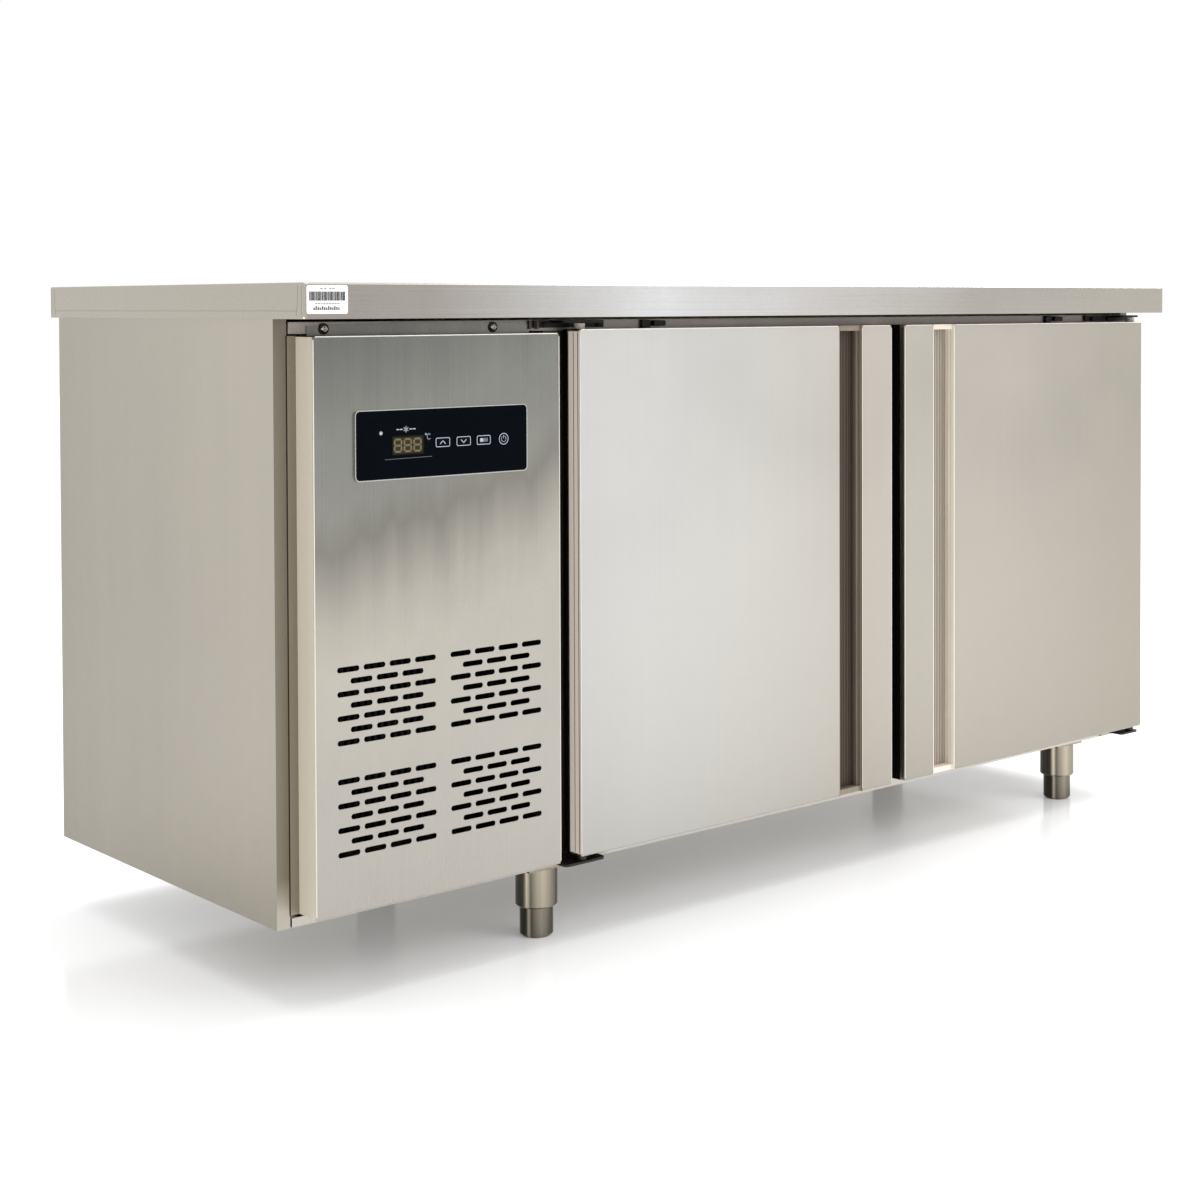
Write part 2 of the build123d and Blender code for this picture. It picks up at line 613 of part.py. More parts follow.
def upright_places():
    """Corners of the six slotted uprights, as (x0, x1, y0, y1)."""
    rear = CAVITY_BACK
    half = 14
    return [
        (COVER_X, COVER_X + 5, -150, -126),
        (COVER_X, COVER_X + 5, 146, 170),
        (CAVITY_X1 - 5, CAVITY_X1, -150, -126),
        (CAVITY_X1 - 5, CAVITY_X1, 146, 170),
        (MIDDLE_X - half, MIDDLE_X + half, rear - 5, rear),
        (MIDDLE_X - half, MIDDLE_X + half, CAVITY_FRONT, CAVITY_FRONT + 5),
    ]


def shelf_uprights():
    strips = []
    for x0, x1, y0, y1 in upright_places():
        strip = block(x0, x1, y0, y1, 150, 650)
        sideways = x1 - x0 < y1 - y0
        for n in range(12):
            z = 175 + n * 40
            if sideways:
                strip -= block(x0 - 1, x1 + 1, (y0 + y1) / 2 - 4, (y0 + y1) / 2 + 4, z, z + 12)
            else:
                strip -= block((x0 + x1) / 2 - 4, (x0 + x1) / 2 + 4, y0 - 1, y1 + 1, z, z + 12)
        strips.append(strip)
    return group(strips)


def shelf_clips():
    """Small ledges under the shelves."""
    z1 = SHELF_Z - 3
    clips = []
    for x0, x1, y0, y1 in upright_places():
        if x1 == COVER_X + 5:
            clips.append(block(x1, x1 + 14, y0, y1, z1 - 8, z1))
        elif x1 == CAVITY_X1:
            clips.append(block(x0 - 14, x0, y0, y1, z1 - 8, z1))
        elif y1 == CAVITY_BACK:
            clips.append(block(x0, x1, y0 - 22, y0, z1 - 8, z1))
        else:
            clips.append(block(x0, x1, y1, y1 + 28, z1 - 8, z1))
    return group(clips)


def evaporator_cover():
    """Cover over the coil at the chamber's left end, open for the fan and the return air."""
    y0, z0, z1 = CAVITY_FRONT + 3, CAVITY_Z0 + 1, CAVITY_Z1 - 1
    cover = block(COVER_X - SHEET, COVER_X, y0, CAVITY_BACK - 1, z0, z1)
    cover += block(CAVITY_X0, COVER_X, y0, y0 + SHEET, z0, z1)
    cover -= bar_x(COVER_X - 5, COVER_X + 5, EVAP_FAN_Y, EVAP_FAN_Z, EVAP_FAN_R + 5)
    for n in range(9):
        z = 160 + n * 14
        cover -= block(COVER_X - 5, COVER_X + 5, -90, 110, z, z + 5)
    return cover


def finned(x0, x1, y0, y1, z0, z1, face_y):
    """A coil block with fins standing on the two long faces."""
    coil = block(x0, x1, y0, y1, z0, z1)
    grooves = []
    if face_y:
        count = int((x1 - x0) // 9)
        step = (x1 - x0) / count
        for n in range(count):
            x = x0 + (n + 0.35) * step
            grooves.append(block(x, x + step * 0.5, y0 - 1, y0 + 6, z0 + 4, z1 - 4))
    else:
        count = int((y1 - y0) // 11)
        step = (y1 - y0) / count
        for n in range(count):
            y = y0 + (n + 0.35) * step
            grooves.append(block(x1 - 6, x1 + 1, y, y + step * 0.5, z0 + 4, z1 - 4))
    return coil - grooves


def evaporator_coil():
    return finned(-315, -275, -150, 180, 180, 470, False)


def condenser_coil():
    return finned(-700, -412, COIL_FACE, COIL_FACE + COIL_DEPTH, 118, 388, True)


def condenser_shroud():
    """Plate and ring that carry the fan behind the condenser."""
    y0, y1 = COIL_FACE + COIL_DEPTH, SHROUD_BACK
    shroud = block(-704, -408, y0, y1, 114, 392)
    shroud -= block(-702, -410, y0 - 1, y1 - 2, 116, 390)
    shroud -= bar_y(FAN_X, y1 - 10, y1 + 10, FAN_Z, FAN_R + 6)
    ring = bar_y(FAN_X, y1 - 2, y1 + 18, FAN_Z, FAN_R + 8) - bar_y(FAN_X, y1 - 10, y1 + 30, FAN_Z, FAN_R + 6)
    return shroud + ring


def condenser_fan_motor():
    """Motor on three arms screwed to the shroud's ring."""
    motor = bar_y(FAN_X, MOTOR_Y0, MOTOR_Y1, FAN_Z, 36)
    motor = fillet(motor.edges().filter_by(GeomType.CIRCLE), 6)
    arm_y = MOTOR_Y0 + 8
    reach = arm_y - 1.5 - SHROUD_BACK - 1
    for n in range(3):
        arm = Pos(0, 0, 75) * Box(14, 3, 90)
        foot_tab = Pos(0, -1.5 - reach / 2, 120.5 - 2.5) * Box(14, reach, 4)
        motor += Pos(FAN_X, arm_y, FAN_Z) * Rot(0, 90 + n * 120, 0) * (arm + foot_tab)
    motor -= bar_y(FAN_X, SHROUD_BACK, SHROUD_BACK + 19, FAN_Z, FAN_R + 8)
    return motor - bar_y(FAN_X, MOTOR_Y0 - 1, MOTOR_Y0 + 32, FAN_Z, SHAFT_R + PIN_CLEAR)


def condenser_fan_blade():
    blade = fan_blade(FAN_R, 22, 5, 18, 24)
    fan = Pos(FAN_X, BLADE_Y, FAN_Z) * Rot(90, 0, 0) * blade
    return fan + bar_y(FAN_X, BLADE_Y, MOTOR_Y0 + 26, FAN_Z, SHAFT_R)


def evaporator_fan_motor():
    """Motor on a bridge that is fixed behind the cover."""
    x1 = COVER_X - SHEET
    motor = bar_x(-312, -280, EVAP_FAN_Y, EVAP_FAN_Z, 20)
    reach = EVAP_FAN_R + 12
    bridge = block(-284, -281, EVAP_FAN_Y - reach, EVAP_FAN_Y + reach, EVAP_FAN_Z - 8, EVAP_FAN_Z + 8)
    for side in (-1, 1):
        y = EVAP_FAN_Y + side * reach
        bridge += block(-284, x1, min(y, y - 2 * side), max(y, y - 2 * side), EVAP_FAN_Z - 8, EVAP_FAN_Z + 8)
    return motor + bridge - bar_x(-300, -275, EVAP_FAN_Y, EVAP_FAN_Z, SHAFT_R + PIN_CLEAR)


def evaporator_fan_blade():
    blade = fan_blade(EVAP_FAN_R, 12, 5, 12, 24)
    fan = Pos(-262, EVAP_FAN_Y, EVAP_FAN_Z) * Rot(0, 90, 0) * blade
    return fan + bar_x(-296, -262, EVAP_FAN_Y, EVAP_FAN_Z, SHAFT_R)


def compressor():
    """Hermetic pot on a base plate, with a terminal box."""
    z0 = BASE_Z + SHEET + 16
    pot = post(COMPRESSOR_X, COMPRESSOR_Y, z0 + 3, z0 + 180, COMPRESSOR_R)
    pot = fillet(pot.edges().filter_by(GeomType.CIRCLE), 32)
    feet = block(-650, -470, 60, 200, z0, z0 + 3)
    seam = post(COMPRESSOR_X, COMPRESSOR_Y, z0 + 96, z0 + 104, COMPRESSOR_R + 4)
    foot_post = post(COMPRESSOR_X, COMPRESSOR_Y, z0 + 2, z0 + 40, 46)
    box = block(-590, -530, 45, 62, z0 + 70, z0 + 130)
    return pot + feet + seam + foot_post + box


def compressor_mounts():
    z0 = BASE_Z + SHEET
    mounts = [post(x, y, z0, z0 + 16, 12) for x in (-635, -485) for y in (75, 185)]
    return group(mounts)


def filter_drier():
    drier = post(DRIER_X, CAPILLARY_Y, 210, 310, 10)
    return fillet(drier.edges().filter_by(GeomType.CIRCLE), 5)


def pipe(points, bend, radius):
    """A round pipe along straight runs joined by bends."""
    line = FilletPolyline(*points, radius=bend)
    start = Plane(origin=line @ 0, z_dir=line % 0)
    return sweep(start * Circle(radius), path=line)


def copper_pipes():
    """Discharge, liquid, capillary and suction pipes."""
    shell_x = COMPRESSOR_X - COMPRESSOR_R
    coil_y = COIL_FACE + COIL_DEPTH / 2
    discharge = pipe(
        [(shell_x, COMPRESSOR_Y, 150), (-716, COMPRESSOR_Y, 150), (-716, COMPRESSOR_Y, 430),
         (-716, coil_y, 430), (-690, coil_y, 430), (-690, coil_y, 388)], 12, DISCHARGE_R)
    liquid = pipe(
        [(-430, coil_y, 118), (-430, coil_y, 96), (-430, CAPILLARY_Y, 96), (DRIER_X, CAPILLARY_Y, 96),
         (DRIER_X, CAPILLARY_Y, 210)], 4.5, DISCHARGE_R)
    capillary = pipe(
        [(DRIER_X, CAPILLARY_Y, 310), (DRIER_X, CAPILLARY_Y, CAPILLARY_Z), (-315, CAPILLARY_Y, CAPILLARY_Z)],
        12, CAPILLARY_R)
    suction = pipe(
        [(-315, SUCTION_Y, SUCTION_Z), (-440, SUCTION_Y, SUCTION_Z), (-440, SUCTION_Y, 160),
         (COMPRESSOR_X + COMPRESSOR_R, SUCTION_Y, 160)], 16, SUCTION_R)
    return group([discharge, liquid, capillary, suction])


def electrical_box():
    box = block(-389 - 70, -389, 90, 230, 460, 620)
    return fillet(box.edges().filter_by(Axis.Y), 4)


def power_gland():
    """Gland in the back panel for the power cord."""
    x, z = -480, 110
    gland = bar_y(x, BACK - 6, BACK + 4, z, 8) + bar_y(x, BACK, BACK + 4, z, 14)
    gland += bar_y(x, BACK + 4, BACK + 16, z, 10) + bar_y(x, BACK - 6, BACK - SHEET, z, 12)
    return gland - bar_y(x, BACK - 10, BACK + 20, z, 4)


def main():
    os.makedirs("parts", exist_ok=True)
    body = {
        "worktop": worktop(),
        "worktop_core": worktop_core(),
        "side_panel_left": side_panel(),
        "side_panel_right": mirror(side_panel(), about=Plane.YZ),
        "back_panel": back_panel(),
        "base_panel": base_panel(),
        "top_rail": top_rail(),
        "bottom_rail": bottom_rail(),
        "partition_wall": partition_wall(),
        "right_post": right_post(),
        "mullion_post": mullion_post(),
        "door_header": door_header(),
        "door_sill": door_sill(),
        "cabinet_foam": cabinet_foam(),
        "cabinet_liner": cabinet_liner(),
        "service_panel": service_panel(),
        "panel_screws": panel_screws(),
        "hinge_brackets_top": hinge_brackets(True),
        "hinge_brackets_bottom": hinge_brackets(False),
        "leg_sleeves": leg_sleeves(),
        "power_gland": power_gland(),
    }
    controls = {"control_fascia": control_fascia(), "display_window": display_window()}
    controls.update({name: key(name) for name in KEYS})
    left_door = {
        "skin": door_skin(),
        "handle": door_handle(),
        "foam": door_foam(),
        "liner": door_liner(),
        "gasket": door_gasket(),
        "bushes": door_bushes(),
    }
    doors = {"door_left_" + name: shape for name, shape in left_door.items()}
    doors.update({"door_right_" + name: mirrored(shape) for name, shape in left_door.items()})
    feet = {}
    for (x, y), name in zip(leg_places(), ("front_left", "front_right", "back_left", "back_right")):
        feet["foot_" + name] = foot(x, y)
    middle_gap = SHELF_GAP / 2
    chamber = {
        "shelf_left": shelf(COVER_X + 8, MIDDLE_X - middle_gap),
        "shelf_right": shelf(MIDDLE_X + middle_gap, CAVITY_X1 - 8),
        "shelf_uprights": shelf_uprights(),
        "shelf_clips": shelf_clips(),
        "evaporator_cover": evaporator_cover(),
        "evaporator_coil": evaporator_coil(),
        "evaporator_fan_motor": evaporator_fan_motor(),
        "evaporator_fan_blade": evaporator_fan_blade(),
    }
    machine = {
        "compressor": compressor(),
        "compressor_mounts": compressor_mounts(),
        "condenser_coil": condenser_coil(),
        "condenser_shroud": condenser_shroud(),
        "condenser_fan_motor": condenser_fan_motor(),
        "condenser_fan_blade": condenser_fan_blade(),
        "filter_drier": filter_drier(),
        "copper_pipes": copper_pipes(),
        "electrical_box": electrical_box(),
    }
    for nodes in (body, controls, doors, feet, chamber, machine):
        for name, shape in nodes.items():
            save(shape, name)


main()
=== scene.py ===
"""Looks of the two-door undercounter refrigerator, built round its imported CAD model.

Metres, in the CAD model's frame: X to the right along the front, the doors face -Y, +Z is up.
"""
import math

import bmesh
import bpy
from mathutils import Matrix, Vector


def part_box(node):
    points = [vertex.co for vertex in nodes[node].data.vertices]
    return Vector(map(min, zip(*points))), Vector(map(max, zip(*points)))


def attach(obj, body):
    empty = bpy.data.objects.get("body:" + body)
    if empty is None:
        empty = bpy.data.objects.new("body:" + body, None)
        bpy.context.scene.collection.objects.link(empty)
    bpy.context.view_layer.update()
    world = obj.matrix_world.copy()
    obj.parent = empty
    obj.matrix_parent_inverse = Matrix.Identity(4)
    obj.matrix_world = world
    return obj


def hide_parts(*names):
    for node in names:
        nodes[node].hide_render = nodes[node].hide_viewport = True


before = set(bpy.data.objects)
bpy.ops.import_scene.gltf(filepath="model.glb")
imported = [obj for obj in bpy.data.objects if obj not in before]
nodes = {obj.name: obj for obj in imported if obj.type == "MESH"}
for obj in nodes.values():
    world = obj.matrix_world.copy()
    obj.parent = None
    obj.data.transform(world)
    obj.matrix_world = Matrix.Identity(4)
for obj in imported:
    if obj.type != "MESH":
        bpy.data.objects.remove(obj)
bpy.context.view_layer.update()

# Camera: place in metres, angles in degrees, lens and sensor in millimetres, shift as a part of the width
CAMERA_PLACE = (-1.8372, -2.0950, 0.7454)
CAMERA_TURN = -41.484
CAMERA_TILT = -1.262
CAMERA_ROLL = -0.163
LENS = 60.448
SENSOR = 36.0
SHIFT = (-0.05776, -0.20872)
FLOOR_REACH = 14

# Plane of the front frame, and the width of the side sheets' front flange
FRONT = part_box("top_rail")[0].y
SIDE_FLANGE = 0.016

# How far a printed mark or a thin strip stands off the surface it sits on, and reaches into it
PRINT = 0.00012
EMBED = 0.0004

# Service panel: how far its screwed lug rises above the box, and the lug's screws
LUG_RISE = 0.0135
LUG_SCREW_DROP = 0.0064
LUG_SCREW_X = (-0.687, -0.463)

# Hinge bracket screws, from the left and the right end of the brackets, and in from their outer edges
TOP_SCREWS = ((0.015, 0.095), (0.091, 0.051))
LOW_SCREWS = ((0.013, 0.095), (0.053,))
TOP_SCREW_DROP = 0.005
LOW_SCREW_RISE = 0.0045

# Grip profile: the seat past each side of the groove, and the groove's depth
GRIP_SEAT = 0.008
GRIP_DEPTH = 0.0168

# Left edges of the two catches on the upper rail
CATCH_X = (-0.240, 0.545)

# Evaporator fan: middle and reach of its guard
EVAPORATOR_FAN = (0.010, 0.585)
GUARD_RADIUS = 0.060


def link(obj):
    """Puts a new object into the scene."""
    bpy.context.scene.collection.objects.link(obj)
    return obj


# ---------------------------------------------------------------- camera, floor and light

def make_camera():
    """The solved view, from the front left at worktop height."""
    data = bpy.data.cameras.new("camera")
    data.lens = LENS
    data.sensor_width = SENSOR
    data.shift_x, data.shift_y = SHIFT
    data.clip_start, data.clip_end = 0.05, 60
    camera = link(bpy.data.objects.new("camera", data))
    turn = Matrix.Rotation(math.radians(CAMERA_TURN), 4, "Z")
    tilt = Matrix.Rotation(math.radians(90 + CAMERA_TILT), 4, "X")
    roll = Matrix.Rotation(math.radians(CAMERA_ROLL), 4, "Z")
    camera.matrix_world = Matrix.Translation(CAMERA_PLACE) @ turn @ tilt @ roll
    bpy.context.scene.camera = camera


def make_floor():
    """A pale floor that only stages the object."""
    mesh = bpy.data.meshes.new("floor")
    reach = FLOOR_REACH
    corners = [(-reach, -reach, 0), (reach, -reach, 0), (reach, reach, 0), (-reach, reach, 0)]
    mesh.from_pydata(corners, [], [(0, 1, 2, 3)])
    floor = link(bpy.data.objects.new("floor", mesh))
    floor.data.materials.append(floor_material())


def area_light(name, place, target, size, power):
    """A rectangular light aimed at a point."""
    data = bpy.data.lights.new(name, "AREA")
    data.shape = "RECTANGLE"
    data.size, data.size_y = size
    data.energy = power
    light = link(bpy.data.objects.new(name, data))
    light.location = place
    aim = Vector(target) - Vector(place)
    light.rotation_euler = aim.to_track_quat("-Z", "Y").to_euler()


def make_lights():
    """White studio with a soft front light, one overhead and a broad one from the right."""
    world = bpy.data.worlds.new("studio")
    world.use_nodes = True
    background = world.node_tree.nodes["Background"]
    background.inputs["Color"].default_value = (1, 1, 1, 1)
    background.inputs["Strength"].default_value = 1.0
    bpy.context.scene.world = world
    area_light("key", (1.6, -3.4, 2.6), (0.2, 0, 0.3), (2.6, 1.8), 45)
    area_light("top", (0, 0.2, 3.4), (0, 0, 0.5), (3.6, 2.2), 50)
    area_light("edge", (3.6, 0.3, 3.7), (0, 0, 0.6), (4.0, 1.6), 160)
    bpy.context.scene.view_settings.view_transform = "Standard"


# ---------------------------------------------------------------- material kit

def tone(red, green, blue, gain=1.0):
    """A colour from its display values, 0 to 255, times a gain."""
    out = []
    for value in (red, green, blue):
        part = value / 255
        out.append(gain * (part / 12.92 if part <= 0.04045 else ((part + 0.055) / 1.055) ** 2.4))
    return tuple(out)


class Graph:
    """A material's node tree, with short ways to add the nodes used here."""

    def __init__(self, name):
        self.material = bpy.data.materials.new(name)
        self.material.use_nodes = True
        self.tree = self.material.node_tree
        self.shader = self.tree.nodes["Principled BSDF"]

    def add(self, kind, **values):
        """A node, with values for its sockets or settings."""
        node = self.tree.nodes.new(kind)
        for key, value in values.items():
            if key in node.inputs:
                node.inputs[key].default_value = value
            else:
                setattr(node, key, value)
        return node

    def join(self, a, b):
        self.tree.links.new(a, b)

    def place(self, scale=(1, 1, 1)):
        """The object's coordinates, stretched by scale."""
        coordinates = self.add("ShaderNodeTexCoord")
        mapping = self.add("ShaderNodeMapping")
        mapping.inputs["Scale"].default_value = scale
        self.join(coordinates.outputs["Object"], mapping.inputs["Vector"])
        return mapping.outputs["Vector"]

    def axis(self, letter):
        """One coordinate of the object."""
        split = self.add("ShaderNodeSeparateXYZ")
        self.join(self.place(), split.inputs["Vector"])
        return split.outputs[letter]

    def noise(self, scale, stretch=(1, 1, 1), detail=3.0, rough=0.5):
        """Noise through the object, denser where the stretch is larger."""
        node = self.add("ShaderNodeTexNoise", Scale=scale, Detail=detail, Roughness=rough)
        self.join(self.place(stretch), node.inputs["Vector"])
        return node.outputs["Fac"]

    def remap(self, value, low, high, start=0.3, end=0.7):
        """A value carried from start and end to low and high."""
        node = self.add("ShaderNodeMapRange")
        for key, number in zip(("From Min", "From Max", "To Min", "To Max"), (start, end, low, high)):
            node.inputs[key].default_value = number
        self.join(value, node.inputs["Value"])
        return node.outputs["Result"]

    def mix(self, a, b, factor, blend="MIX"):
        """Two colours mixed. Each input may be a socket or a constant."""
        node = self.add("ShaderNodeMix", data_type="RGBA", blend_type=blend)
        for socket, value in ((node.inputs[6], a), (node.inputs[7], b), (node.inputs[0], factor)):
            if hasattr(value, "links"):
                self.join(value, socket)
            elif isinstance(value, (int, float)):
                socket.default_value = value
            else:
                socket.default_value = (*value, 1)
        return node.outputs[2]

    def maths(self, operation, a, b):
        node = self.add("ShaderNodeMath", operation=operation)
        for socket, value in zip(node.inputs, (a, b)):
            if hasattr(value, "links"):
                self.join(value, socket)
            else:
                socket.default_value = value
        return node.outputs[0]

    def ramp(self, value, stops):
        """Colours along a value, from stops of (value, colour)."""
        low, high = stops[0][0], stops[-1][0]
        node = self.add("ShaderNodeValToRGB")
        self.join(self.remap(value, 0, 1, low, high), node.inputs["Fac"])
        band = node.color_ramp
        band.elements[0].color = (*stops[0][1], 1)
        band.elements[1].color = (*stops[-1][1], 1)
        for at, colour in stops[1:-1]:
            band.elements.new((at - low) / (high - low)).color = (*colour, 1)
        return node.outputs["Color"]

    def bump(self, height, strength, distance):
        node = self.add("ShaderNodeBump", Strength=strength, Distance=distance)
        self.join(height, node.inputs["Height"])
        self.join(node.outputs["Normal"], self.shader.inputs["Normal"])

    def set(self, **values):
        for key, value in values.items():
            self.shader.inputs[key.replace("_", " ")].default_value = value


# Noise stretched along the direction that a sheet is brushed in
GRAIN = {"X": (3, 900, 900), "Y": (900, 3, 900), "Z": (900, 900, 3)}

# Noise that wanders slowly across a sheet and hardly at all up it
WANDER = (26, 26, 1.6)


def brush(g, colour, rough, grain, streak, blotch, dent, metallic=1.0):
    """Finishes a steel: fine streaks along the grain, faint smudges and broad waves in the sheet."""
    streaks = g.noise(1.0, GRAIN[grain], 2.0, 0.6)
    smudge = g.noise(4.5, detail=4.0)
    fine = g.noise(60.0, detail=2.0)
    low, high = 1 - streak, 1 + streak
    streak_tint = g.mix((low, low, low), (high, high, high), g.remap(streaks, 0, 1))
    colour = g.mix(colour, streak_tint, 1.0, "MULTIPLY")
    shade = 1 - blotch
    colour = g.mix(colour, g.mix((shade, shade, shade), (1, 1, 1), g.remap(smudge, 0, 1)), 1.0, "MULTIPLY")
    g.join(colour, g.shader.inputs["Base Color"])
    roughness = g.maths("ADD", g.remap(streaks, rough - 0.05, rough + 0.05), g.remap(smudge, -0.03, 0.05))
    roughness = g.maths("ADD", roughness, g.remap(fine, -0.015, 0.015))
    g.join(roughness, g.shader.inputs["Roughness"])
    g.set(Metallic=metallic, Anisotropic=0.35)
    wave = g.noise(2.2, detail=1.0)
    height = g.maths("ADD", g.remap(streaks, 0, 0.02), g.remap(wave, 0, 1.0))
    g.bump(height, dent, 0.01)
    return g.material


def steel(name, tint, rough=0.3, grain="X", streak=0.04, blotch=0.06, dent=0.03):
    """Brushed stainless of one tint."""
    g = Graph(name)
    return brush(g, g.mix(tint, tint, 0.0), rough, grain, streak, blotch, dent)


def toned_steel(name, letter, stops, rough=0.3, grain="Z", streak=0.03, blotch=0.05, dent=0.03, drift=0.0,
                fade=None, lean=0.0, metallic=1.0):
    """Brushed stainless whose tint changes along an axis; in this script the changes are painted reflection
    and shade. Drift makes the change streaky, lean tilts it across the front, and fade is a second, lighter
    or darker, multiplier up the height."""
    g = Graph(name)
    value = g.axis(letter)
    if lean:
        value = g.maths("ADD", value, g.maths("MULTIPLY", g.axis("X"), lean))
    if drift:
        wander = g.noise(1.0, WANDER, 3.0, 0.55)
        value = g.maths("ADD", value, g.remap(wander, -drift, drift, 0.25, 0.75))
    colour = g.ramp(value, stops)
    if fade:
        colour = g.mix(colour, g.ramp(g.axis("Z"), fade), 1.0, "MULTIPLY")
    return brush(g, colour, rough, grain, streak, blotch, dent, metallic)


def side_steel(name, stops, flange):
    """The side sheets, with painted reflection and shade: lighter up their height and darker towards the
    back, with a darker front flange, a painted reflection of the service panel's return, that clears towards
    its foot.
    """
    g = Graph(name)
    wander = g.remap(g.noise(1.0, WANDER, 3.0, 0.55), -0.04, 0.04, 0.25, 0.75)
    colour = g.ramp(g.maths("ADD", g.axis("Z"), wander), stops)
    painted_depth_shade = [(-0.20, (1.0, 1.0, 1.0)), (0.28, (0.86, 0.86, 0.86))]
    colour = g.mix(colour, g.ramp(g.axis("Y"), painted_depth_shade), 1.0, "MULTIPLY")
    at_front = g.remap(g.axis("Y"), 1, 0, FRONT - 0.0001, FRONT + 0.0004)
    colour = g.mix(colour, g.ramp(g.axis("Z"), flange), at_front)
    return brush(g, colour, 0.36, "X", 0.015, 0.05, 0.03)


def painted_glow(name, tint, glow):
    """A bright metal strip or rounded edge with painted light: a painted highlight in its colour, and a glow
    though it is no lamp.
    """
    g = Graph(name)
    fine = g.noise(240.0, detail=2.0)
    g.join(g.mix(tuple(c * 0.94 for c in tint), tint, g.remap(fine, 0, 1)), g.shader.inputs["Base Color"])
    g.join(g.remap(fine, 0.28, 0.36), g.shader.inputs["Roughness"])
    g.set(Metallic=0.3, Emission_Color=(*tint, 1), Emission_Strength=glow)
    g.bump(fine, 0.03, 0.0004)
    return g.material


def round_steel(name, stops, rough=0.22):
    """Polished tube with painted reflections: soft light and dark bands run down it, by the way its surface
    faces.
    """
    g = Graph(name)
    facing = g.add("ShaderNodeNewGeometry")
    split = g.add("ShaderNodeSeparateXYZ")
    g.join(facing.outputs["Normal"], split.inputs["Vector"])
    angle = g.maths("ARCTAN2", split.outputs["X"], g.maths("MULTIPLY", split.outputs["Y"], -1.0))
    wobble = g.noise(1.0, (500, 500, 8), 2.0, 0.6)
    angle = g.maths("ADD", g.maths("MULTIPLY", angle, 180 / math.pi), g.remap(wobble, -1.5, 1.5))
    return brush(g, g.ramp(angle, stops), rough, "Z", 0.08, 0.06, 0.02)


def plain(name, tint, rough, metallic=0.0, speckle=0.08, grain=260.0, bump=0.05, gloss=0.5):
    """Moulded, painted or cast surface: fine texture with slight colour and gloss variation."""
    g = Graph(name)
    fine = g.noise(grain, detail=3.0)
    broad = g.noise(9.0, detail=3.0)
    dark = tuple(c * (1 - speckle) for c in tint)
    light = tuple(min(1, c * (1 + speckle) + 0.0005) for c in tint)
    factor = g.maths("ADD", g.remap(fine, 0, 0.6), g.remap(broad, 0, 0.4))
    g.join(g.mix(dark, light, factor), g.shader.inputs["Base Color"])
    g.join(g.maths("ADD", g.remap(fine, rough - 0.04, rough + 0.04), g.remap(broad, -0.03, 0.05)),
           g.shader.inputs["Roughness"])
    g.set(Metallic=metallic, Specular_IOR_Level=gloss)
    g.bump(fine, bump, 0.0006)
    return g.material


def floor_material():
    """White floor with a faint sheen. A slight glow keeps its shade light under the body."""
    g = Graph("pale_floor")
    broad = g.noise(1.3, detail=3.0)
    fine = g.noise(40.0, detail=2.0)
    white = g.mix((0.90, 0.90, 0.90), (0.94, 0.94, 0.94), g.remap(broad, 0, 1))
    g.join(white, g.shader.inputs["Base Color"])
    roughness = g.maths("ADD", g.remap(broad, 0.09, 0.15), g.remap(fine, -0.01, 0.01))
    g.join(roughness, g.shader.inputs["Roughness"])
    g.set(IOR=1.5, Emission_Color=(0.98, 1.0, 1.03, 1), Emission_Strength=0.14)
    return g.material


def paint(material, *names):
    """Gives CAD nodes their material."""
    for name in names:
        slots = nodes[name].data.materials
        slots.clear()
        slots.append(material)


# ---------------------------------------------------------------- mesh kit

def finish_mesh(bm, name, material, body, bevel=0.0, smooth=False):
    """The mesh as a piece that rides on a body."""
    bmesh.ops.recalc_face_normals(bm, faces=bm.faces)
    mesh = bpy.data.meshes.new(name)
    bm.to_mesh(mesh)
    bm.free()
    mesh.materials.append(material)
    if smooth:
        mesh.shade_smooth()
    piece = link(bpy.data.objects.new(name, mesh))
    if bevel:
        rounding = piece.modifiers.new("edges", "BEVEL")
        rounding.width = bevel
        rounding.segments = 2
        rounding.limit_method = "ANGLE"
    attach(piece, body)
    return piece


def prism(bm, outline, y0, y1):
    """A flat outline of (x, z) points, given thickness from y0 to y1."""
    front = [bm.verts.new((x, y0, z)) for x, z in outline]
    back = [bm.verts.new((x, y1, z)) for x, z in outline]
    bm.faces.new(front)
    bm.faces.new(back[::-1])
    for n in range(len(outline)):
        m = (n + 1) % len(outline)
        bm.faces.new((front[n], back[n], back[m], front[m]))


def frame_prism(bm, outer, inner, y0, y1):
    """A closed band between two outlines with equal numbers of points."""
    loops = [[bm.verts.new((x, y, z)) for x, z in line] for line in (outer, inner) for y in (y0, y1)]
    outer_front, outer_back, inner_front, inner_back = loops
    for n in range(len(outer)):
        m = (n + 1) % len(outer)
        for a, b in ((outer_front, inner_front), (outer_back, outer_front),
                     (inner_back, outer_back), (inner_front, inner_back)):
            bm.faces.new((a[n], b[n], b[m], a[m]))


def brick(bm, x0, x1, y0, y1, z0, z1):
    """A small rectangular bar, one part of a larger piece."""
    prism(bm, [(x0, z0), (x1, z0), (x1, z1), (x0, z1)], y0, y1)


def rounded(x0, x1, z0, z1, radius, steps=5):
    """Outline of a rectangle with rounded corners."""
    points = []
    corners = ((x1 - radius, z1 - radius), (x0 + radius, z1 - radius), (x0 + radius, z0 + radius),
               (x1 - radius, z0 + radius))
    for quarter, (cx, cz) in enumerate(corners):
        for n in range(steps + 1):
            angle = math.radians(90 * quarter + 90 * n / steps)
            points.append((cx + radius * math.cos(angle), cz + radius * math.sin(angle)))
    return points


def circle(x, z, radius, count=28):
    """Outline of a round form."""
    turns = [2 * math.pi * n / count for n in range(count)]
    return [(x + radius * math.cos(a), z + radius * math.sin(a)) for a in turns]


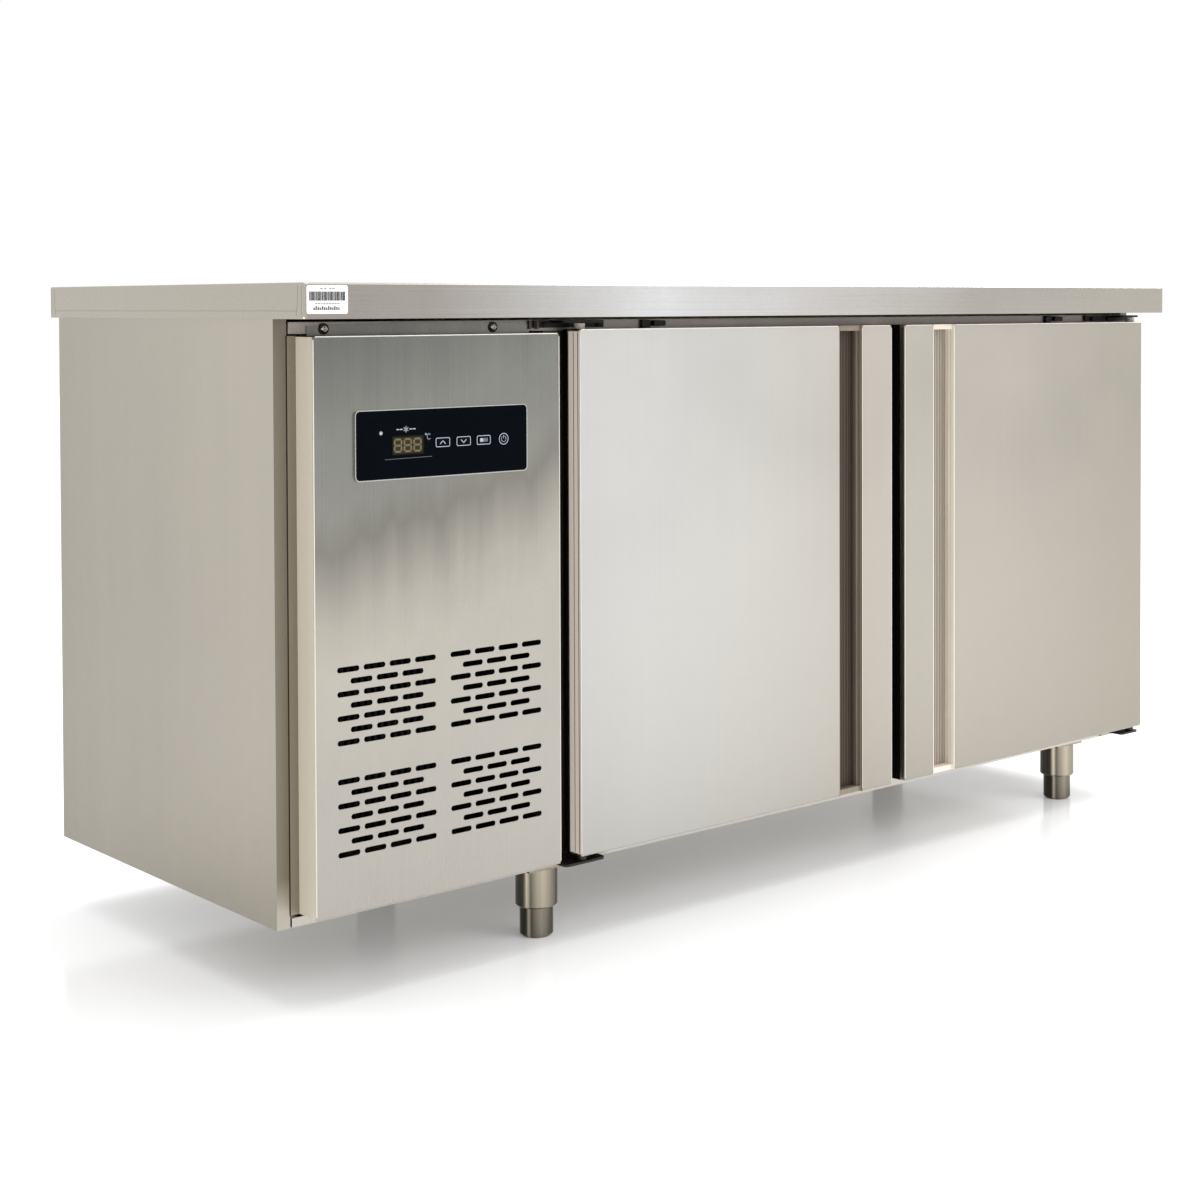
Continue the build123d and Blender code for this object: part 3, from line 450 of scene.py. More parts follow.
def stroke(bm, points, width, y0, y1):
    """A line of even width through (x, z) points, as joined straight bars."""
    for (xa, za), (xb, zb) in zip(points, points[1:]):
        length = math.hypot(xb - xa, zb - za)
        ux, uz = (xb - xa) / length, (zb - za) / length
        nx, nz = -uz * width / 2, ux * width / 2
        ea, eb = ux * width * 0.3, uz * width * 0.3
        prism(bm, [(xa - ea + nx, za - eb + nz), (xa - ea - nx, za - eb - nz), (xb + ea - nx, zb + eb - nz),
                   (xb + ea + nx, zb + eb + nz)], y0, y1)


def rod(name, points, radius, material, body, closed=False):
    """A round wire or bead through the points."""
    curve = bpy.data.curves.new(name, "CURVE")
    curve.dimensions = "3D"
    line = curve.splines.new("POLY")
    line.points.add(len(points) - 1)
    for point, place in zip(line.points, points):
        point.co = (*place, 1)
    line.use_cyclic_u = closed
    curve.bevel_depth = radius
    curve.bevel_resolution = 3
    curve.use_fill_caps = not closed
    curve.materials.append(material)
    piece = link(bpy.data.objects.new(name, curve))
    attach(piece, body)
    return piece


# ---------------------------------------------------------------- control unit

def control_marks(ink):
    """Bezel, window trim, printed marks and the unlit digits."""
    low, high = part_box("control_fascia")
    x0, x1, z0, z1, face = low.x, high.x, low.z, high.z, low.y
    bm = bmesh.new()
    out, inward = 0.0009, 0.0002
    frame_prism(bm, rounded(x0 - out, x1 + out, z0 - out, z1 + out, 0.0059),
                rounded(x0 + inward, x1 - inward, z0 + inward, z1 - inward, 0.0048),
                face + 0.0004, face + 0.0034)
    finish_mesh(bm, "fascia_bezel", steel("bezel_steel", tone(186, 185, 182), 0.25, "X"),
                "cabinet")

    low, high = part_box("display_window")
    wx0, wx1, wz0, wz1 = low.x, high.x, low.z, high.z
    bm = bmesh.new()
    trim = 0.0014
    frame_prism(bm, rounded(wx0 - trim, wx1 + trim, wz0 - trim, wz1 + trim, 0.0012),
                rounded(wx0, wx1, wz0, wz1, 0.0004), face - 0.0005, face + EMBED)
    finish_mesh(bm, "display_trim", plain("trim_black", (0.004, 0.004, 0.004), 0.5, gloss=0.1),
                "cabinet")

    bm = bmesh.new()
    pitch = (wx1 - wx0) / 3.05
    for n in range(3):
        digit(bm, wx0 + 0.0009 + n * pitch, wz0 + 0.0012, pitch * 0.86, wz1 - wz0 - 0.0024,
              face - PRINT, face + EMBED)
    finish_mesh(bm, "display_digits", plain("unlit_segments", tone(110, 101, 80), 0.5, gloss=0.05),
                "cabinet")

    bm = bmesh.new()
    marks(bm, wx0, wx1, wz0, wz1, face - PRINT, face + EMBED)
    finish_mesh(bm, "fascia_print", ink, "cabinet")

    bm = bmesh.new()
    stroke(bm, [(wx0 - 0.0105, wz0 - 0.0056), (wx1 + 0.0120, wz0 - 0.0048)], 0.0006,
           face - PRINT, face + EMBED)
    finish_mesh(bm, "fascia_line", plain("faint_ink", tone(96, 98, 102), 0.5, gloss=0.1),
                "cabinet")

    bm = bmesh.new()
    dome(bm, wx0 - 0.0155, wz1 + 0.0054, face, 0.0021, 0.0008)
    finish_mesh(bm, "indicator_lens", plain("lens", tone(160, 172, 186), 0.2), "cabinet",
                smooth=True)


def digit(bm, x, z, wide, tall, y0, y1):
    """A seven-segment eight, its segments parted by thin gaps."""
    bar = 0.0021
    gap = 0.00035
    half = tall / 2
    for level in (0, 1, 2):
        zc = z + bar / 2 + level * (half - bar / 2)
        left, right = x + bar / 2 + gap, x + wide - bar / 2 - gap
        prism(bm, [(left, zc), (left + bar / 2, zc - bar / 2), (right - bar / 2, zc - bar / 2), (right, zc),
                   (right - bar / 2, zc + bar / 2), (left + bar / 2, zc + bar / 2)], y0, y1)
    for xc in (x + bar / 2, x + wide - bar / 2):
        for z0, z1 in ((z + bar / 2, z + half), (z + half, z + tall - bar / 2)):
            low, high = z0 + bar / 2 + gap, z1 - bar / 2 - gap
            prism(bm, [(xc, z0 + gap), (xc + bar / 2, low), (xc + bar / 2, high), (xc, z1 - gap),
                       (xc - bar / 2, high), (xc - bar / 2, low)], y0, y1)


def marks(bm, wx0, wx1, wz0, wz1, y0, y1):
    """Snowflake between two dashes over the display, and the degree mark and unit beside it."""
    x, z = (wx0 + wx1) / 2 - 0.0025, wz1 + 0.0085
    for n in range(3):
        angle = math.radians(30 + 60 * n)
        dx, dz = 0.0032 * math.cos(angle), 0.0032 * math.sin(angle)
        stroke(bm, [(x - dx, z - dz), (x + dx, z + dz)], 0.0008, y0, y1)
    for side in (-1, 1):
        for step in (0.0062, 0.0106):
            stroke(bm, [(x + side * step - 0.0015, z), (x + side * step + 0.0015, z)], 0.0011, y0, y1)
    degree_x, degree_z = wx1 + 0.0042, wz1 + 0.0020
    frame_prism(bm, circle(degree_x, degree_z, 0.0012, 16), circle(degree_x, degree_z, 0.0006, 16), y0, y1)
    cx, cz = wx1 + 0.0082, wz1 - 0.0008
    arc = [(cx + 0.0024 * math.cos(math.radians(a)), cz + 0.0030 * math.sin(math.radians(a)))
           for a in range(50, 311, 26)]
    stroke(bm, arc, 0.0008, y0, y1)


def dome(bm, x, z, y, radius, height, rings=5, count=20):
    """A lens or screw head that bulges towards the front."""
    middle = bm.verts.new((x, y - height, z))
    last = None
    for k in range(1, rings + 1):
        swing = math.pi / 2 * k / rings
        ring = [bm.verts.new((px, y - height * math.cos(swing), pz))
                for px, pz in circle(x, z, radius * math.sin(swing), count)]
        for n in range(count):
            m = (n + 1) % count
            bm.faces.new((middle, ring[n], ring[m]) if last is None else (last[n], ring[n], ring[m], last[m]))
        last = ring
    foot = [bm.verts.new((v.co.x, y + EMBED, v.co.z)) for v in last]
    for n in range(count):
        m = (n + 1) % count
        bm.faces.new((last[n], foot[n], foot[m], last[m]))
    bm.faces.new(foot[::-1])


def key_marks(ink):
    """Outline and symbol on each key. They ride on the key."""
    for name in ("up_key", "down_key", "light_key", "power_key"):
        low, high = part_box(name)
        face = low.y
        cx, cz = (low.x + high.x) / 2, (low.z + high.z) / 2
        half_x, half_z = (high.x - low.x) / 2 - 0.0022, (high.z - low.z) / 2 - 0.0021
        y0, y1 = face - PRINT, face + EMBED
        bm = bmesh.new()
        if name == "power_key":
            frame_prism(bm, circle(cx, cz, 0.0066), circle(cx, cz, 0.0058), y0, y1)
            arc = [(cx + 0.0033 * math.sin(math.radians(a)), cz + 0.0033 * math.cos(math.radians(a)))
                   for a in range(40, 321, 20)]
            stroke(bm, arc, 0.0007, y0, y1)
            stroke(bm, [(cx, cz + 0.0008), (cx, cz + 0.0042)], 0.0007, y0, y1)
        else:
            outer = rounded(cx - half_x, cx + half_x, cz - half_z, cz + half_z, 0.0020)
            inner = rounded(cx - half_x + 0.0008, cx + half_x - 0.0008, cz - half_z + 0.0008,
                            cz + half_z - 0.0008, 0.0013)
            frame_prism(bm, outer, inner, y0, y1)
        if name in ("up_key", "down_key"):
            way = 1 if name == "up_key" else -1
            foot_z, tip_z = cz - way * 0.0016, cz + way * 0.0018
            stroke(bm, [(cx - 0.0034, foot_z), (cx, tip_z), (cx + 0.0034, foot_z)], 0.0010, y0, y1)
        if name == "light_key":
            prism(bm, rounded(cx - 0.0050, cx - 0.0004, cz - 0.0021, cz + 0.0021, 0.0009), y0, y1)
            for step in (0.0012, 0.0030, 0.0048):
                stroke(bm, [(cx + step, cz - 0.0019), (cx + step, cz + 0.0019)], 0.0006, y0, y1)
        finish_mesh(bm, name + "_symbol", ink, name + "_cap")


# ---------------------------------------------------------------- parts label

# Left, right, bottom and top of the label, from the worktop's front left lower corner, and its thickness
LABEL = (0.0035, 0.0530, 0.0055, 0.0350)
PAPER = 0.0002


def parts_label():
    """White paper label near the worktop's corner: stripes and dashes, with no lettering."""
    low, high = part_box("worktop")
    x0, x1 = low.x + LABEL[0], low.x + LABEL[1]
    z0, z1 = low.z + LABEL[2], low.z + LABEL[3]
    face = low.y
    wide, tall = x1 - x0, z1 - z0
    bm = bmesh.new()
    prism(bm, rounded(x0, x1, z0, z1, 0.0022), face - PAPER, face + EMBED)
    finish_mesh(bm, "parts_label", plain("label_paper", tone(250, 250, 248), 0.6, speckle=0.02), "cabinet")
    y0, y1 = face - PAPER - PRINT, face
    bm = bmesh.new()
    x = x0 + 0.06 * wide
    n = 0
    while x < x0 + 0.93 * wide:
        width = 0.0006 + 0.0008 * (0.5 + 0.5 * math.sin(n * 2.4))
        brick(bm, x, x + width, y0, y1, z0 + 0.46 * tall, z0 + 0.78 * tall)
        x += width + 0.00025 + 0.0003 * (0.5 + 0.5 * math.sin(n * 5.1 + 1))
        n += 1
    finish_mesh(bm, "label_stripes", plain("label_ink", tone(48, 48, 54), 0.6, gloss=0.1), "cabinet")
    bm = bmesh.new()
    for n in range(9):
        start = x0 + (0.20 + 0.068 * n) * wide
        brick(bm, start, start + 0.0026, y0, y1, z0 + 0.33 * tall, z0 + 0.38 * tall)
    for start in (0.33, 0.42, 0.54, 0.62):
        brick(bm, x0 + start * wide, x0 + (start + 0.06) * wide, y0, y1,
              z0 + 0.86 * tall, z0 + 0.91 * tall)
    finish_mesh(bm, "label_dashes", plain("label_grey_ink", tone(150, 150, 150), 0.6), "cabinet")
    bm = bmesh.new()
    for n in range(13):
        start = x0 + (0.16 + 0.05 * n) * wide
        rise = (0.06, 0.11, 0.08)[n % 3]
        brick(bm, start, start + 0.0018, y0, y1, z0 + 0.13 * tall, z0 + (0.16 + rise) * tall)
    finish_mesh(bm, "label_marks", plain("label_dark_ink", tone(90, 90, 92), 0.6), "cabinet")


# ---------------------------------------------------------------- screws and hinges

def screw_head(bm, x, z, y, radius, height):
    """Pan head with a cross recess, as rings of points pushed in where the cross is."""
    rings, count = 9, 40
    layers = []
    for k in range(rings + 1):
        part = k / rings
        ring = []
        for px, pz in circle(0, 0, radius * part if k else 0.00002, count):
            lift = height * (1 - part ** 4) ** 0.5
            arm, waist = max(abs(px), abs(pz)), min(abs(px), abs(pz))
            if arm < 0.62 * radius and waist < 0.17 * radius:
                lift -= 0.75 * height * (1 - arm / (0.75 * radius))
            ring.append(bm.verts.new((x + px, y - lift, z + pz)))
        layers.append(ring)
    layers.append([bm.verts.new((v.co.x, y + EMBED, v.co.z)) for v in layers[-1]])
    for inner, outer in zip(layers, layers[1:]):
        for n in range(count):
            m = (n + 1) % count
            bm.faces.new((inner[n], outer[n], outer[m], inner[m]))
    bm.faces.new(layers[0])
    bm.faces.new(layers[-1][::-1])


def screw_row(name, material, places, z, y, radius, height):
    """Screw heads side by side, in place of the plain CAD screws."""
    bm = bmesh.new()
    for x in places:
        screw_head(bm, x, z, y, radius, height)
    row = finish_mesh(bm, name, material, "cabinet", smooth=True)
    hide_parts("panel_screws")


def screws():
    """Bright screws with dark washers on the service panel's lug, small ones on the hinge brackets."""
    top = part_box("hinge_brackets_top")
    left, right = top[0].x, top[1].x
    lug_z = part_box("service_panel")[1].z - LUG_SCREW_DROP
    top_z = top[1].z - TOP_SCREW_DROP
    low_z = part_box("hinge_brackets_bottom")[0].z + LOW_SCREW_RISE
    screw_row("lug_screws", steel("screw_steel", tone(214, 210, 200), 0.2, "X"), LUG_SCREW_X, lug_z,
              FRONT - 0.0019, 0.0044, 0.0024)
    washers = bmesh.new()
    for x in LUG_SCREW_X:
        frame_prism(washers, circle(x, lug_z, 0.0062), circle(x, lug_z, 0.0030),
                    FRONT - 0.0021, FRONT - 0.0008)
    finish_mesh(washers, "lug_washers", plain("washer_black", (0.006, 0.005, 0.005), 0.4, gloss=0.3),
                "cabinet", bevel=0.0002)
    rows = (("hinge_screws_top", plain("screw_black", (0.02, 0.018, 0.016), 0.35, 0.7), TOP_SCREWS, top_z),
            ("hinge_screws_bottom", steel("screw_dull", tone(180, 172, 158), 0.3, "X"), LOW_SCREWS, low_z))
    for name, material, (from_left, from_right), z in rows:
        places = [left + step for step in from_left] + [right - step for step in from_right]
        screw_row(name, material, places, z, FRONT - 0.003, 0.0032, 0.0022)


# ---------------------------------------------------------------- worktop and door edges

def worktop_edges(bright, seam):
    """Rolled hem under the fold, the corner seams and the line where each end is folded. The hem wears a
    glowing painted highlight.
    """
    low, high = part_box("worktop")
    inset = 0.0009
    z = low.z + 0.0012
    corners = [(low.x + inset, low.y + inset, z), (high.x - inset, low.y + inset, z),
               (high.x - inset, high.y - inset, z), (low.x + inset, high.y - inset, z)]
    # The rolled hem is real; its bright glowing material is a painted highlight.
    rod("worktop_hem", corners, 0.0012, bright, "cabinet", closed=True)
    for side, x in (("left", low.x + 0.0003), ("right", high.x - 0.0003)):
        for end, y, way in (("front", low.y, 1), ("back", high.y, -1)):
            for n, step in enumerate((0.0045, 0.0125)):
                lean = 0.0022 * way * n
                points = [(x, y + way * step + lean, low.z + 0.003), (x, y + way * step, low.z + 0.014),
                          (x, y + way * step - lean * 0.4, high.z - 0.003)]
                name = "worktop_seam_%s_%s_%d" % (side, end, n)
                rod(name, points, 0.00045, seam, "cabinet")
        fold_z = low.z + 0.0085
        rod("worktop_fold_" + side, [(x, low.y + 0.013, fold_z), (x, high.y - 0.013, fold_z)], 0.0004, seam,
            "cabinet")


def door_edge_lines(dark, faint):
    """Fold lines along the two upright edges of each door skin."""
    for side in ("left", "right"):
        low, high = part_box("door_%s_skin" % side)
        free, hinge = (high.x, low.x) if side == "left" else (low.x, high.x)
        out = 1 if side == "left" else -1
        bm = bmesh.new()
        brick(bm, *sorted((free - out * EMBED, free + out * 0.00015)), low.y + 0.0033, low.y + 0.0058,
              low.z + 0.004, high.z - 0.004)
        finish_mesh(bm, "door_%s_free_fold" % side, dark, side + "_door")
        bm = bmesh.new()
        for y0, y1 in ((0.0030, 0.0042), (0.0112, 0.0122)):
            brick(bm, *sorted((hinge + out * EMBED, hinge - out * 0.00025)), low.y + y0, low.y + y1,
                  low.z + 0.004, high.z - 0.004)
        finish_mesh(bm, "door_%s_hinge_fold" % side, faint, side + "_door")


def panel_top():
    """Top of the service panel's box, below its lug."""
    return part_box("service_panel")[1].z - LUG_RISE


def painted_edge_highlights(line, soft):
    """Painted highlights along the folds: glowing beads on the top edges of the covers, their side edges and
    the far side of each grip.
    """
    covers = (("panel", "service_panel", "cabinet"), ("door_left", "door_left_skin", "left_door"),
              ("door_right", "door_right_skin", "right_door"))
    for name, node, body in covers:
        low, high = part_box(node)
        y = low.y + 0.0010
        if name == "panel":
            z = panel_top()
            runs = [(low.x + 0.003, high.x - 0.003)]
        else:
            z = high.z
            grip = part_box(name + "_handle")
            runs = [(low.x + 0.003, grip[0].x + 0.006), (grip[1].x - 0.006, high.x - 0.003)]
        for n, (x0, x1) in enumerate(runs):
            rod("%s_top_edge_%d" % (name, n), [(x0, y, z - 0.0010), (x1, y, z - 0.0010)], 0.0009, line, body)
        y = low.y + 0.0006
        for end, x in (("left", low.x + 0.0006), ("right", high.x - 0.0006)):
            rod("%s_%s_edge" % (name, end), [(x, y, low.z + 0.004), (x, y, z - 0.004)], 0.0007, soft, body)
    for side in ("left", "right"):
        low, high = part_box("door_%s_handle" % side)
        x, y = high.x - GRIP_SEAT, low.y + 0.0003
        rod("grip_%s_edge" % side, [(x, y, low.z + 0.004), (x, y, high.z - 0.004)], 0.0006, soft,
            side + "_door")


def grip_steps(tints):
    """Fine rolled steps that run down the back of each grip; their tints are painted shade on the left grip
    and painted light on the right.
    """
    steps = ((0.0060, 0.0012), (0.0110, 0.0014), (0.0165, 0.0014), (0.0215, 0.0016))
    for side, tint in tints:
        low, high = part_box("door_%s_handle" % side)
        back = low.y + GRIP_DEPTH
        bm = bmesh.new()
        for start, width in steps:
            x = high.x - GRIP_SEAT - start
            brick(bm, x - width, x, back - 0.0004, back + EMBED, low.z + 0.004, high.z - 0.004)
        finish_mesh(bm, "grip_%s_steps" % side, tint, side + "_door")


def returns(panel_side, door_sides):
    """Satin facings on the folded returns: the service panel's left one and each door's hinge-side one. The
    panel's and the left door's glow as painted light in their shaded recesses.
    """
    low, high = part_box("service_panel")
    bm = bmesh.new()
    brick(bm, low.x - 0.00015, low.x + EMBED, low.y + 0.0016, high.y, low.z + 0.001, panel_top() - 0.001)
    finish_mesh(bm, "panel_left_return", panel_side, "cabinet")
    for side, out in (("left", -1), ("right", 1)):
        low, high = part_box("door_%s_skin" % side)
        hinge = low.x if side == "left" else high.x
        bm = bmesh.new()
        brick(bm, *sorted((hinge - out * EMBED, hinge + out * 0.0001)), low.y + 0.0016, high.y - 0.002,
              low.z + 0.003, high.z - 0.003)
        finish_mesh(bm, "door_%s_hinge_return" % side, door_sides[side], side + "_door")


def panel_joint(shadow, jamb):
    """Joint beside the service panel: a dark line on the side sheet's flange, and a jamb in the gap."""
    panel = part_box("service_panel")[0]
    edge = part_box("side_panel_left")[0].x + SIDE_FLANGE
    z0, z1 = panel.z + 0.001, panel_top()
    bm = bmesh.new()
    brick(bm, edge - 0.0008, edge + 0.0004, FRONT - 0.0004, FRONT + EMBED, z0, z1)
    finish_mesh(bm, "flange_seam", shadow, "cabinet")
    bm = bmesh.new()
    brick(bm, edge - 0.0040, panel.x + 0.0080, FRONT + 0.0009, FRONT + 0.0022, z0, z1)
    finish_mesh(bm, "panel_jamb", jamb, "cabinet")


# ---------------------------------------------------------------- gaskets

def bellows_section(y0, y1):
    """Gasket section as (inward, y) points, with two folds down each side."""
    pleats = (y0 + 0.0012, y0 + 0.0024, y0 + 0.0036)
    return [(0.0, y0), (-0.0016, pleats[0]), (0.0, pleats[1]), (-0.0016, pleats[2]), (-0.0004, y1),
            (0.0120, y1), (0.0134, pleats[2]), (0.0120, pleats[1]), (0.0134, pleats[0]), (0.0120, y0)]


def bellows(bm, skin, y0, y1):
    """The section carried round four mitred corners, in from the edges of the door."""
    inset = 0.016
    section = bellows_section(y0, y1)
    x0, x1 = skin[0].x + inset, skin[1].x - inset
    z0, z1 = skin[0].z + inset, skin[1].z - inset
    corners = ((x0, z0, 1, 1), (x1, z0, -1, 1), (x1, z1, -1, -1), (x0, z1, 1, -1))
    loops = [[bm.verts.new((cx + wx * step, y, cz + wz * step)) for step, y in section]
             for cx, cz, wx, wz in corners]
    count = len(section)
    for n in range(4):
        a, b = loops[n], loops[(n + 1) % 4]
        for k in range(count):
            j = (k + 1) % count
            bm.faces.new((a[k], b[k], b[j], a[j]))


def gaskets(rubber, trim):
    """Bellows gasket round each door's tray, and the dark trim that closes the edge behind the skin. The
    trim's black is partly the door's dark inner edge and partly painted shade in the gap.
    """
    sheet = 0.001
    free_return = 0.009
    for side in ("left", "right"):
        node = "door_%s_gasket" % side
        low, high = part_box(node)
        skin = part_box("door_%s_skin" % side)
        bm = bmesh.new()
        bellows(bm, skin, high.y - 0.0046, high.y)
        seal = finish_mesh(bm, "door_%s_bellows" % side, rubber, side + "_door",
                           bevel=0.0004)
        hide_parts(node)
        hinge_y, free_y, back_y = skin[1].y, skin[0].y + free_return, low.y + 0.019
        left_y, right_y = (free_y, hinge_y) if side == "right" else (hinge_y, free_y)
        x0, x1, z0, z1 = skin[0].x, skin[1].x, skin[0].z, skin[1].z
        bm = bmesh.new()
        brick(bm, x0, x0 + sheet, left_y, back_y, z0, z1)
        brick(bm, x1 - sheet, x1, right_y, back_y, z0, z1)
        brick(bm, x0 + sheet, x1 - sheet, hinge_y, back_y, z0, z0 + sheet)
        brick(bm, x0 + sheet, x1 - sheet, hinge_y, back_y, z1 - sheet, z1)
        edge = finish_mesh(bm, "door_%s_edge_trim" % side, trim, side + "_door")
        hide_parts(node)


# ---------------------------------------------------------------- shelves and guards

def wire_shelf(side, wire):
    """Round-wire shelf: frame, close wires front to back and two stiffening bars."""
    node = "shelf_" + side
    low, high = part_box(node)
    r_frame, r_wire = 0.0030, 0.0016
    z = low.z + r_frame
    x0, x1, y0, y1 = low.x + r_frame, high.x - r_frame, low.y + r_frame, high.y - r_frame
    corners = [(x0, y0, z), (x1, y0, z), (x1, y1, z), (x0, y1, z)]
    pieces = [rod(node + "_frame", corners, r_frame, wire, "cabinet", closed=True)]
    for n, part in enumerate((0.33, 0.67)):
        y = y0 + (y1 - y0) * part
        bar = rod("%s_bar_%d" % (node, n), [(x0, y, z), (x1, y, z)], 0.0025, wire, "cabinet")
        pieces.append(bar)
    curve = bpy.data.curves.new(node + "_wires", "CURVE")
    curve.dimensions = "3D"
    count = round((x1 - x0) / 0.024)
    for n in range(1, count):
        x = x0 + (x1 - x0) * n / count
        line = curve.splines.new("POLY")
        line.points.add(1)
        line.points[0].co = (x, y0, high.z - r_wire, 1)
        line.points[1].co = (x, y1, high.z - r_wire, 1)
    curve.bevel_depth = r_wire
    curve.bevel_resolution = 2
    curve.use_fill_caps = True
    curve.materials.append(wire)
    wires = link(bpy.data.objects.new(node + "_wires", curve))
    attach(wires, "cabinet")
    for piece in pieces + [wires]:
        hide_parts(node)


def fan_guard(name, x, centre, radius, wire):
    """Concentric wire rings on four spokes, upright across the row, in front of a fan."""
    def at(reach, angle):
        return (x, centre[0] + reach * math.cos(angle), centre[1] + reach * math.sin(angle))
    turns = [2 * math.pi * k / 36 for k in range(36)]
    for n in range(1, 6):
        points = [at(radius * n / 5, angle) for angle in turns]
        rod("%s_ring_%d" % (name, n), points, 0.0011, wire, "cabinet", closed=True)
    for n in range(4):
        angle = math.radians(45 + 90 * n)
        points = [at(radius * 0.2, angle), at(radius * 1.04, angle)]
        rod("%s_spoke_%d" % (name, n), points, 0.0013, wire, "cabinet")


# ---------------------------------------------------------------- small dark parts of the frame

def frame_details(black, grey):
    """Catches on the upper rail, and small stops beside the left hinge bracket."""
    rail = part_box("top_rail")
    z0, z1 = rail[0].z + 0.0022, rail[1].z - 0.0006
    bm = bmesh.new()
    for x in CATCH_X:
        prism(bm, rounded(x, x + 0.014, z0, z1, 0.0018), FRONT - 0.004, FRONT + EMBED)
        prism(bm, rounded(x + 0.017, x + 0.036, z0 + 0.002, z1 - 0.001, 0.0022), FRONT - 0.007, FRONT + EMBED)
    finish_mesh(bm, "rail_catches", black, "cabinet", bevel=0.0006)
    bm = bmesh.new()
    bracket_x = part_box("hinge_brackets_top")[0].x
    for x in (bracket_x - 0.007, bracket_x + 0.004):
        brick(bm, x, x + 0.0028, FRONT - 0.0035, FRONT + EMBED, z0, z1)
    finish_mesh(bm, "rail_end_stops", grey, "cabinet", bevel=0.0003)


# ---------------------------------------------------------------- materials of the CAD model

STEEL = tone(190, 184, 173)


def paint_body():
    """Outer sheets, worktop and front frame. Their tones carry painted reflection and shade."""
    # Painted reflection: the sides lighten up their height; the flange is dark where it mirrors the service
    # panel's return and light at its foot.
    side_reflection_tones = [(0.085, tone(158, 152, 140)), (0.25, tone(166, 160, 149)), (0.40, tone(172, 166, 155)),
             (0.55, tone(180, 174, 162)), (0.732, tone(188, 182, 170))]
    flange = [(0.085, tone(186, 180, 168)), (0.105, tone(180, 173, 160)), (0.14, tone(116, 108, 93)),
              (0.60, tone(112, 105, 90)), (0.732, tone(104, 97, 84))]
    paint(side_steel("steel_sides_painted_reflection", side_reflection_tones, flange), "side_panel_left", "side_panel_right", "back_panel",
          "base_panel")
    # Painted reflection: the worktop's tone rises and falls along its length, in place of the studio's
    # reflections in it.
    worktop = [(-0.750, tone(184, 178, 166)), (-0.745, tone(158, 152, 146)), (-0.60, tone(164, 158, 152)),
               (-0.44, tone(192, 190, 187)), (-0.25, tone(222, 222, 222)), (0.0, tone(201, 198, 195)),
               (0.30, tone(180, 176, 168)), (0.75, tone(181, 176, 165))]
    paint(toned_steel("steel_worktop_painted_reflection", "X", worktop, 0.26, "X", 0.03, 0.05), "worktop")
    # Painted shade: the rail is darker along most of its run, in the shade under the worktop's overhang, and
    # lighter at its left end.
    rail = [(-0.74, tone(168, 162, 154)), (-0.715, tone(160, 154, 146)), (-0.70, tone(140, 134, 128)),
            (-0.42, tone(132, 127, 121)), (-0.40, tone(140, 136, 131)), (0.73, tone(138, 134, 130))]
    paint(toned_steel("steel_frame_painted_shade", "X", rail, 0.38, "X", 0.05, 0.08), "top_rail")
    paint(steel("steel_base", tone(190, 185, 176), 0.36, "X", 0.03, 0.05), "bottom_rail", "door_sill")
    # Painted shade: the partition wall and door header, seen deep in the gaps between the covers, are given a
    # dark steel.
    paint(steel("steel_posts_painted_shade", tone(70, 65, 60), 0.4, "Z", 0.03, 0.05), "partition_wall", "door_header")
    paint(steel("steel_post_right", STEEL, 0.34, "Z", 0.03, 0.05), "right_post")
    paint(plain("breaker_strip", (0.0025, 0.002, 0.002), 0.6, gloss=0.04), "mullion_post")


def paint_service_panel():
    """The panel's tone is a painted reflection of a dark floor: darker higher up, and lighter below along a
    leaning edge.
    """
    stops = [(0.15, tone(177, 173, 165)), (0.40, tone(172, 168, 160)), (0.55, tone(178, 173, 163)),
             (0.60, tone(170, 165, 155)), (0.68, tone(130, 128, 121)), (0.72, tone(139, 138, 132)),
             (0.80, tone(137, 137, 132)), (0.90, tone(116, 116, 112))]
    paint(toned_steel("steel_service_painted_reflection", "Z", stops, 0.32, "Z", 0.03, 0.10, drift=0.022, lean=-0.28),
          "service_panel")
    paint(plain("fascia", tone(6, 10, 15), 0.35, bump=0.01, gloss=0.01), "control_fascia")
    paint(plain("window", tone(56, 50, 37), 0.3, bump=0.0, gloss=0.02), "display_window")
    paint(plain("key_caps", tone(8, 12, 18), 0.35, gloss=0.02),
          "up_key", "down_key", "light_key", "power_key")


